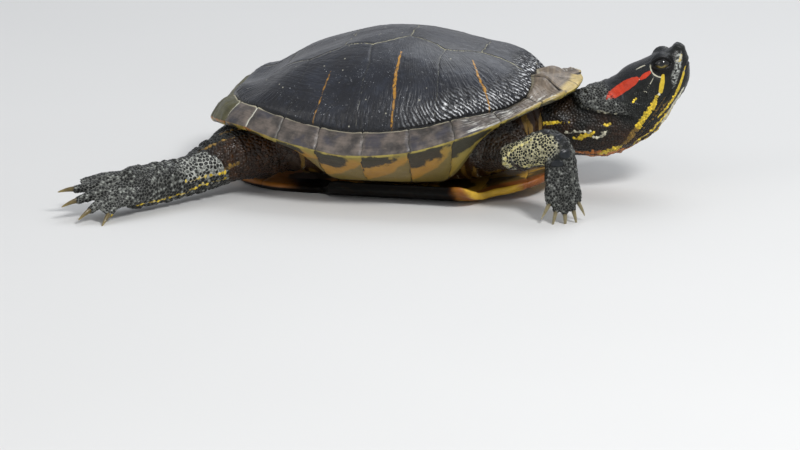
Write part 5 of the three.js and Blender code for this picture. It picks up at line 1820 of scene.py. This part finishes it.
def grow_scales(name, at, up, gap, crease, height, lean, sheet, marks):
    """Domed scales that fill the skin up to narrow creases between them, as one mesh."""
    count = len(at)
    away = neighbours(at) - at[:, None]
    away -= np.einsum("nkc,nc->nk", away, up)[..., None] * up[:, None]
    first = unit(np.cross(up, (0.31, 0.52, 0.79)))
    second = np.cross(up, first)
    turn = 2 * np.pi * (np.arange(SCALE_SIDES)[None] / SCALE_SIDES + RANDOM.random((count, 1)))
    ray = np.cos(turn)[..., None] * first[:, None] + np.sin(turn)[..., None] * second[:, None]
    toward = np.einsum("nkc,nsc->nks", away, ray)
    halfway = (away**2).sum(-1)[..., None] / (2 * np.maximum(toward, 1e-6))
    reach = np.where(toward > 0.05, halfway, 9).min(1) - (crease * gap)[:, None]
    reach = np.clip(reach, SCALE_REACH[0] * gap[:, None], SCALE_REACH[1] * gap[:, None])
    rings = []
    for share, rise in SCALE_RINGS:
        level = -SCALE_SINK + (SCALE_SINK + height) * rise
        middle = at + up * level[:, None] + lean * (rise * 0.12 * gap)[:, None]
        rings.append(middle[:, None] + ray * (reach * share)[..., None])
    crown = at + up * height[:, None] + lean * (0.14 * gap)[:, None]
    points = np.concatenate([np.concatenate(rings, 1), crown[:, None]], 1).reshape(-1, 3)
    points[:, 2] = np.maximum(points[:, 2], 0.01)
    return build_coat(name, points, SCALE_RINGS, SCALE_SIDES, up[0], sheet, marks)


BAKE_PATCH = 0.003
BAKE_MARGIN = 0.04


def build_coat(name, points, rings, sides, outward, places, marks):
    """Scales as one mesh. Each has rings of points, a crown, and a small patch of the bake map at its place."""
    count, per = len(places), sides * len(rings) + 1
    shift = (np.arange(count) * per)[:, None, None]
    cap = fan_faces(per - 1, per - 1 - sides, sides)
    faces = [(ring_faces(len(rings), sides) + shift).reshape(-1, 4), (cap + shift).reshape(-1, 3)]
    a, b, c = points[faces[1][0]]
    if np.cross(b - a, c - a) @ outward < 0:
        faces = [f[:, ::-1] for f in faces]
    shares, lift = np.array([ring for ring in rings for _ in range(sides)] + [(0, 1)], float).T
    marks = {key: np.repeat(values, per) for key, values in marks.items()}
    piece = build(name, points, faces, {"lift": np.tile(np.maximum(lift, 0), count), **marks})
    angle = np.append(np.tile(turns(sides), len(rings)), 0)
    spots = places[:, None] + np.stack([np.cos(angle), np.sin(angle)], 1) * (shares * BAKE_PATCH / 2)[:, None]
    corners = spots.reshape(-1, 2)[read(piece.data.loops, "vertex_index", 1, np.int32)].astype(np.float32)
    piece.data.uv_layers.new(name="OFBake").data.foreach_set("uv", corners.ravel())
    return piece


def bake_places(where, home):
    """Where each root lies on its part's surface, unrolled; the parts lie side by side in the map."""
    parts = (where.group * 10 + where.part)[home]
    names = np.unique(parts)
    girth = np.array([max(where.radius[home][parts == n].max(), 2.0) for n in names])
    edges = np.concatenate([[0], np.cumsum(girth)]) / girth.sum()
    column = np.searchsorted(names, parts)
    inner = 1 - 2 * BAKE_MARGIN
    across = BAKE_MARGIN + inner * (where.angle[home] + 180) / 360
    longest = np.array([where.along[home][parts == n].max() + 1 for n in names])
    along = BAKE_MARGIN + inner * where.along[home] / longest[column]
    return np.stack([lerp(edges[column], edges[column + 1], across), along], 1)


PLATE_SIDES = 28
PLATE_RINGS = ((1.0, -0.3), (0.97, 0.35), (0.9, 0.8), (0.7, 1.0), (0.4, 1.02))


def make_plates(skin, name, points, where, marks):
    """The big plates of one forearm, each laid closely on the skin."""
    chosen = np.flatnonzero(where.on(name) & (where.part == 1))
    sheet = leg_sheet(where, name)
    turn = turns(PLATE_SIDES)
    square = 1 / squared(np.cos(turn), np.sin(turn))
    normals = directions_of(skin.data)
    bodies, homes = [], []
    for along, angle, length, width in BIG_PLATES:
        off = np.hypot(where.along[chosen] - along, np.radians(wrapped(sheet[chosen] - angle)) * 8)
        home = chosen[off.argmin()]
        up = normals[home]
        flow = unit(where.flow[home] - up * (where.flow[home] @ up))
        across = np.cross(up, flow)
        body = []
        for share, rise in (*PLATE_RINGS, (0.0, 1.03)):
            wobble = 1 + 0.05 * np.sin(3 * turn + along)
            count = PLATE_SIDES if share else 1
            for a, r in zip(turn[:count], (square * wobble)[:count]):
                spot = points[home] + share * r * (
                    flow * math.cos(a) * (length / 2 - PLATE_CREASE) + across * math.sin(a) * (width / 2 - PLATE_CREASE)
                )
                _, place, normal, _ = skin.closest_point_on_mesh(Vector(to_metres(spot)))
                body.append(to_millimetres(np.array(place)) + (np.array(normal) + up) / 2 * rise * PLATE_HEIGHT)
        bodies.append(np.array(body))
        homes.append(home)
    homes = np.array(homes)
    plain = {**dict.fromkeys(MARK_KINDS, OUTSIDE), "crown": 1, "between": 0.25, "brown": 0}
    picked = {key: np.full(len(homes), float(plain[key])) if key in plain else v[homes] for key, v in marks.items()}
    picked["tone"] = PLATE_TONES
    places = bake_places(where, homes)
    outward = normals[homes[0]]
    return build_coat("plates_" + name, np.concatenate(bodies), PLATE_RINGS, PLATE_SIDES, outward, places, picked)


def make_scales(skin, where, marks):
    """A coat piece for each leg, one for the neck with the head, and one for the tail."""
    at, up, gap, home = seed_scales(skin, where)
    group = np.array(where.names)[where.group[home]]
    group = np.where(group == "head", "neck", group)
    a = mirrored(at)[:, 0]
    part = where.part[home]
    height = np.select(
        [group == "neck", group == "tail", part > 2, part == 2],
        [gap * np.interp(a, [-50, -34, -24], [0.13, 0.13, 0.08]), gap * 0.14, gap * 0.17, gap * 0.18],
        gap * 0.19,
    )
    lean = where.flow[home] * np.where(group == "neck", -1, 1)[:, None]
    lean = unit(lean - np.einsum("nc,nc->n", lean, up)[:, None] * up)
    tone = RANDOM.random(len(at))
    pieces = []
    for name in np.unique(group):
        chosen = group == name
        sheet = bake_places(where, home[chosen])
        picked = {k: v[home[chosen]] for k, v in marks.items()}
        picked["tone"] = tone[chosen]
        crease = 0.035 + 0.05 * picked["between"]
        facts = (at[chosen], up[chosen], gap[chosen], crease, height[chosen], lean[chosen], sheet, picked)
        pieces.append(grow_scales("scales_" + name, *facts))
    points = points_of(skin.data)
    pieces += [make_plates(skin, name, points, where, marks) for name in FRONT_LEGS]
    return pieces


# ---------------------------------------------------------------- eyes and claws
EYEBALL = 5.35
CORNEA_BULGE = 0.4


def make_eye(name, side):
    """An eyeball with a bulging cornea, its pole looking out; angle from the pole is kept for the iris."""
    rings, columns = 40, 48
    away = np.pi * (np.arange(rings) + 0.7) / (rings + 0.4)
    turn = turns(columns)
    reach = EYEBALL + CORNEA_BULGE * smooth(away, 0.75, 0.15)
    out, fore, up = eye_axes(side)
    ring = np.cos(turn)[None, :, None] * fore + np.sin(turn)[None, :, None] * up
    ball = (np.cos(away)[:, None, None] * out + np.sin(away)[:, None, None] * ring) * reach[:, None, None]
    points = np.concatenate([ball.reshape(-1, 3), [out * (EYEBALL + CORNEA_BULGE), -out * EYEBALL]])
    points = HEAD.outward(points * (1, 1, EYE_FLATTENING) + EYE_AT * (1, side, 1))
    degrees = np.append(np.repeat(np.degrees(away), columns), [0, 180])
    high = np.sin(np.append(np.tile(turn, rings), [0, 0])) * np.sin(np.radians(degrees))
    return build(name, points, capped_faces(points, rings, columns), {"away": degrees, "high": high})


def eye_material():
    """A near black turtle's eye: olive brown iris flecks with a dark bar through a round pupil, wet and clear."""
    p = Paint("turtle_eye")
    away, high = p.values("away high")
    fleck = p.noise(0.5, 4, 0.7)
    iris = p.mix(fleck, "1d170a", "5c4c1e")
    iris = p.mix(p.step(away, 22, 34), p.mix(fleck, "574b1c", "8a7a38"), iris)
    bar = p.step(abs(high) + fleck * 0.06, 0.17, 0.1)
    iris = p.mix(bar * 0.9, iris, "0b0906")
    iris = p.mix(p.step(high, -0.3, -0.05), iris, "0a0806")
    colour = p.mix(p.step(away, 16.5, 15), iris, "020202")
    colour = p.mix(p.step(away, 40, 50), colour, "0a0806")
    return p.done(colour, 0.05, specular=0.5, coat=0.35, coat_roughness=0.02)


CLAW_ROOT = 1.6  # how far a claw starts inside its toe
CLAW_COLUMNS, CLAW_ROWS = 18, 26


def make_claw(name, kind, place, i):
    """A claw that curves down from its toe to a point, keeled above and flatter below."""
    out, length = toe_course(kind, i)
    long, thick, bend = kind["claw_length"], kind["claw_radius"], math.radians(kind["claw_bend"])
    drop = lambda d: -kind["droop"] - long * math.tan(bend) * max(d / long, 0) ** 1.6
    steps = np.linspace(-CLAW_ROOT, long, CLAW_ROWS)
    centre = np.array([out(length + 0.2 + d, drop(d)) for d in steps])
    share = np.clip(steps / long, 0, 1)
    size = thick * np.sqrt(np.maximum(1 - share**1.7, 0)) * (1 - 0.35 * share)
    size = np.maximum(size, 0.06) * np.where(steps < 0, 0.9, 1)
    tangent = unit(np.gradient(centre, axis=0))
    side = unit(np.cross((0, 0, 1), tangent))
    top = np.cross(tangent, side)
    turn = turns(CLAW_COLUMNS)
    tall = np.where(np.sin(turn) > 0, 1.05, 0.8)
    ring = side[:, None] * (0.78 * np.cos(turn))[None, :, None] + top[:, None] * (tall * np.sin(turn))[None, :, None]
    body = centre[:, None] + ring * size[:, None, None]
    points = np.concatenate([body.reshape(-1, 3), [centre[0], centre[-1] + tangent[-1] * 0.1]])
    points = place.outward(points)
    points[:, 2] = np.maximum(points[:, 2], 0.0)
    reach = np.append(np.repeat(share, CLAW_COLUMNS), [0, 1])
    faces = capped_faces(points, CLAW_ROWS, CLAW_COLUMNS)
    return build(name, points, faces, {"reach": reach, "upper": np.tile(np.sin(turn), CLAW_ROWS)})


def claw_material(pale):
    """Horn: dark at the root and back, paler and clearer to the tip, with fine lengthwise grain."""
    p = Paint("pale_claw" if pale else "dark_claw")
    reach, upper = p.values("reach upper")
    cloud = p.noise(1.6, 4, 0.6)
    low, high = ("6a6043", "b3a87e") if pale else ("3a2f1c", "8c7a45")
    colour = p.mix(cloud, low, high)
    colour = p.mix(p.step(reach, 0.3, 0.0) * 0.75, colour, "2a2315")
    tip = "d2c9a2" if pale else "b3a05a"
    colour = p.mix(p.step(reach, 0.45, 1.0) * 0.6, colour, tip)
    colour = p.mix(p.step(upper, 0.2, 0.9) * 0.35, colour, "4b3f26")
    grain = p.noise(0.5, 3, 0.6)
    return p.done(colour, p.between(grain, 0.25, 0.42), p.bump(grain, 0.06, 0.6), coat=0.2)


def claw_index(kind, place, i):
    """The clawless toe of a hind foot is its outer one."""
    outer = 1 if place.axes[0][1] * place.axes[0][0] > 0 else 0
    return i + outer if kind["clawed"] < kind["count"] else i


# ---------------------------------------------------------------- camera, floor and light
VIEW_AZIMUTH = 12
VIEW_ELEVATION = 15
VIEW_SPAN = 432.4
VIEW_AIM = (1.6, -24.9)
VIEW_DISTANCE = 3.0
FLOOR_SIZE = 14
FLOOR_COLOURS = (0.68, 0.68, 0.67), (0.72, 0.72, 0.71)
SKY_COLOUR = (0.93, 0.95, 1.0)
SKY_LIGHT, SKY_SEEN = 0.42, 0.6  # the backdrop's strength on the animal, and as it is seen
# Each lamp's name, place, watts, size and colour.
LAMPS = [
    ("key", (0.85, -0.8, 1.25), 18, 0.36, (1, 1, 1)),
    ("sky", (0.3, 0.9, 1.3), 9, 1.1, (0.93, 0.96, 1)),
    ("fill", (-1.1, -1.2, 0.9), 5, 1.0, (1, 0.97, 0.93)),
]
LAMP_AIM = (0, 0, 0.04)


def set_camera():
    """The photograph's view: from the turtle's right, a little from the front and from above."""
    a, e = math.radians(VIEW_AZIMUTH), math.radians(VIEW_ELEVATION)
    right = np.array([math.cos(a), math.sin(a), 0])
    forward = np.array([-math.sin(a) * math.cos(e), math.cos(a) * math.cos(e), -math.sin(e)])
    up = np.cross(right, forward)
    aim = to_metres(right * VIEW_AIM[0] + up * VIEW_AIM[1])
    data = bpy.data.cameras.new("camera")
    data.sensor_width = 36
    data.lens = data.sensor_width * VIEW_DISTANCE / (VIEW_SPAN * MILLIMETRE)
    data.clip_end = 60
    camera = add_object("camera", data)
    camera.matrix_world = Matrix.Translation(Vector(aim - forward * VIEW_DISTANCE)) @ Matrix(
        np.stack([right, up, -forward], 1).tolist()
    ).to_4x4()
    bpy.context.scene.camera = camera


def add_lamp(name, at, energy, size, colour):
    data = bpy.data.lights.new(name, "AREA")
    data.energy, data.size, data.color = energy, size, colour
    lamp = add_object(name, data)
    lamp.location = at
    lamp.rotation_euler = (Vector(LAMP_AIM) - Vector(at)).to_track_quat("-Z", "Y").to_euler()


def set_stage():
    """A pale floor, a soft sky that the camera sees brighter than it shines, and three soft lamps."""
    bpy.ops.mesh.primitive_plane_add(size=FLOOR_SIZE, location=(0, 0, 0))
    floor = bpy.context.object
    floor.name = "floor"
    p = Paint("pale_floor")
    tint = p.mix(p.noise(300, 2), *FLOOR_COLOURS)
    floor.data.materials.append(p.done(tint, 0.75, specular=0.2))
    floor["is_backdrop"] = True
    w = Paint("studio", "worlds")
    kinds = ("Is Camera Ray", "Is Glossy Ray", "Is Transmission Ray")
    path = w.node("LightPath").socket.node.outputs
    seen, *others = (Out(w, path[kind]) for kind in kinds)
    for other in others:
        seen = w.math("MAXIMUM", seen, other)
    back = w.tree.nodes["Background"].inputs
    w.feed(back["Strength"], w.between(seen, SKY_LIGHT, SKY_SEEN))
    w.feed(back["Color"], SKY_COLOUR)
    bpy.context.scene.world = w.owner
    for lamp in LAMPS:
        add_lamp(*lamp)
    bpy.context.scene.view_settings.view_transform = "Standard"


def write_sizes():
    """Works out the sizes of the CAD and of what is shown, as plain lists, but keeps them nowhere."""
    plain = lambda box: [[float(v) for v in corner] for corner in box]
    {"cad": plain(cad_box), "visual": plain(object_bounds())}


# ---------------------------------------------------------------- assembly of the animal
set_camera()
set_stage()
finish_piece(make_dome(), horn_material(), ["carapace"])
finish_piece(make_rim(), marginal_material(), ["carapace"])
finish_piece(make_plastron(), plastron_material(), ["plastron"])

FLESH = ["trunk", "neck", "head", "lower_jaw", "tail"]
for leg_name, leg in LEGS.items():
    side = leg_name.split("_")[1]
    FLESH += [f"{part}_{side}" for part in leg["kind"]["names"]]

skin = join_flesh()
skin_points, where = shape_skin(skin)
skin_marks = markings(skin_points, where)
mark(skin.data, skin_marks)
finish_piece(skin, skin_material(), FLESH)
coat = scale_material()
for piece in make_scales(skin, where, skin_marks):
    finish_piece(piece, coat)
claw_paints = claw_material(False), claw_material(True)
for leg_name, leg in LEGS.items():
    kind, place = leg["kind"], Place(*leg["paddle"])
    paddle = kind["names"][2] + "_" + leg_name.split("_")[1]
    for i in range(kind["clawed"]):
        node = f"{paddle}_claw_{i + 1}"
        claw = make_claw("horn_" + node, kind, place, claw_index(kind, place, i))
        finish_piece(claw, claw_paints[kind is HAND], [node])
eye_paint = eye_material()
for side, turn in (("left", 1), ("right", -1)):
    finish_piece(make_eye("eyeball_" + side, turn), eye_paint, ["eye_" + side])

write_sizes()
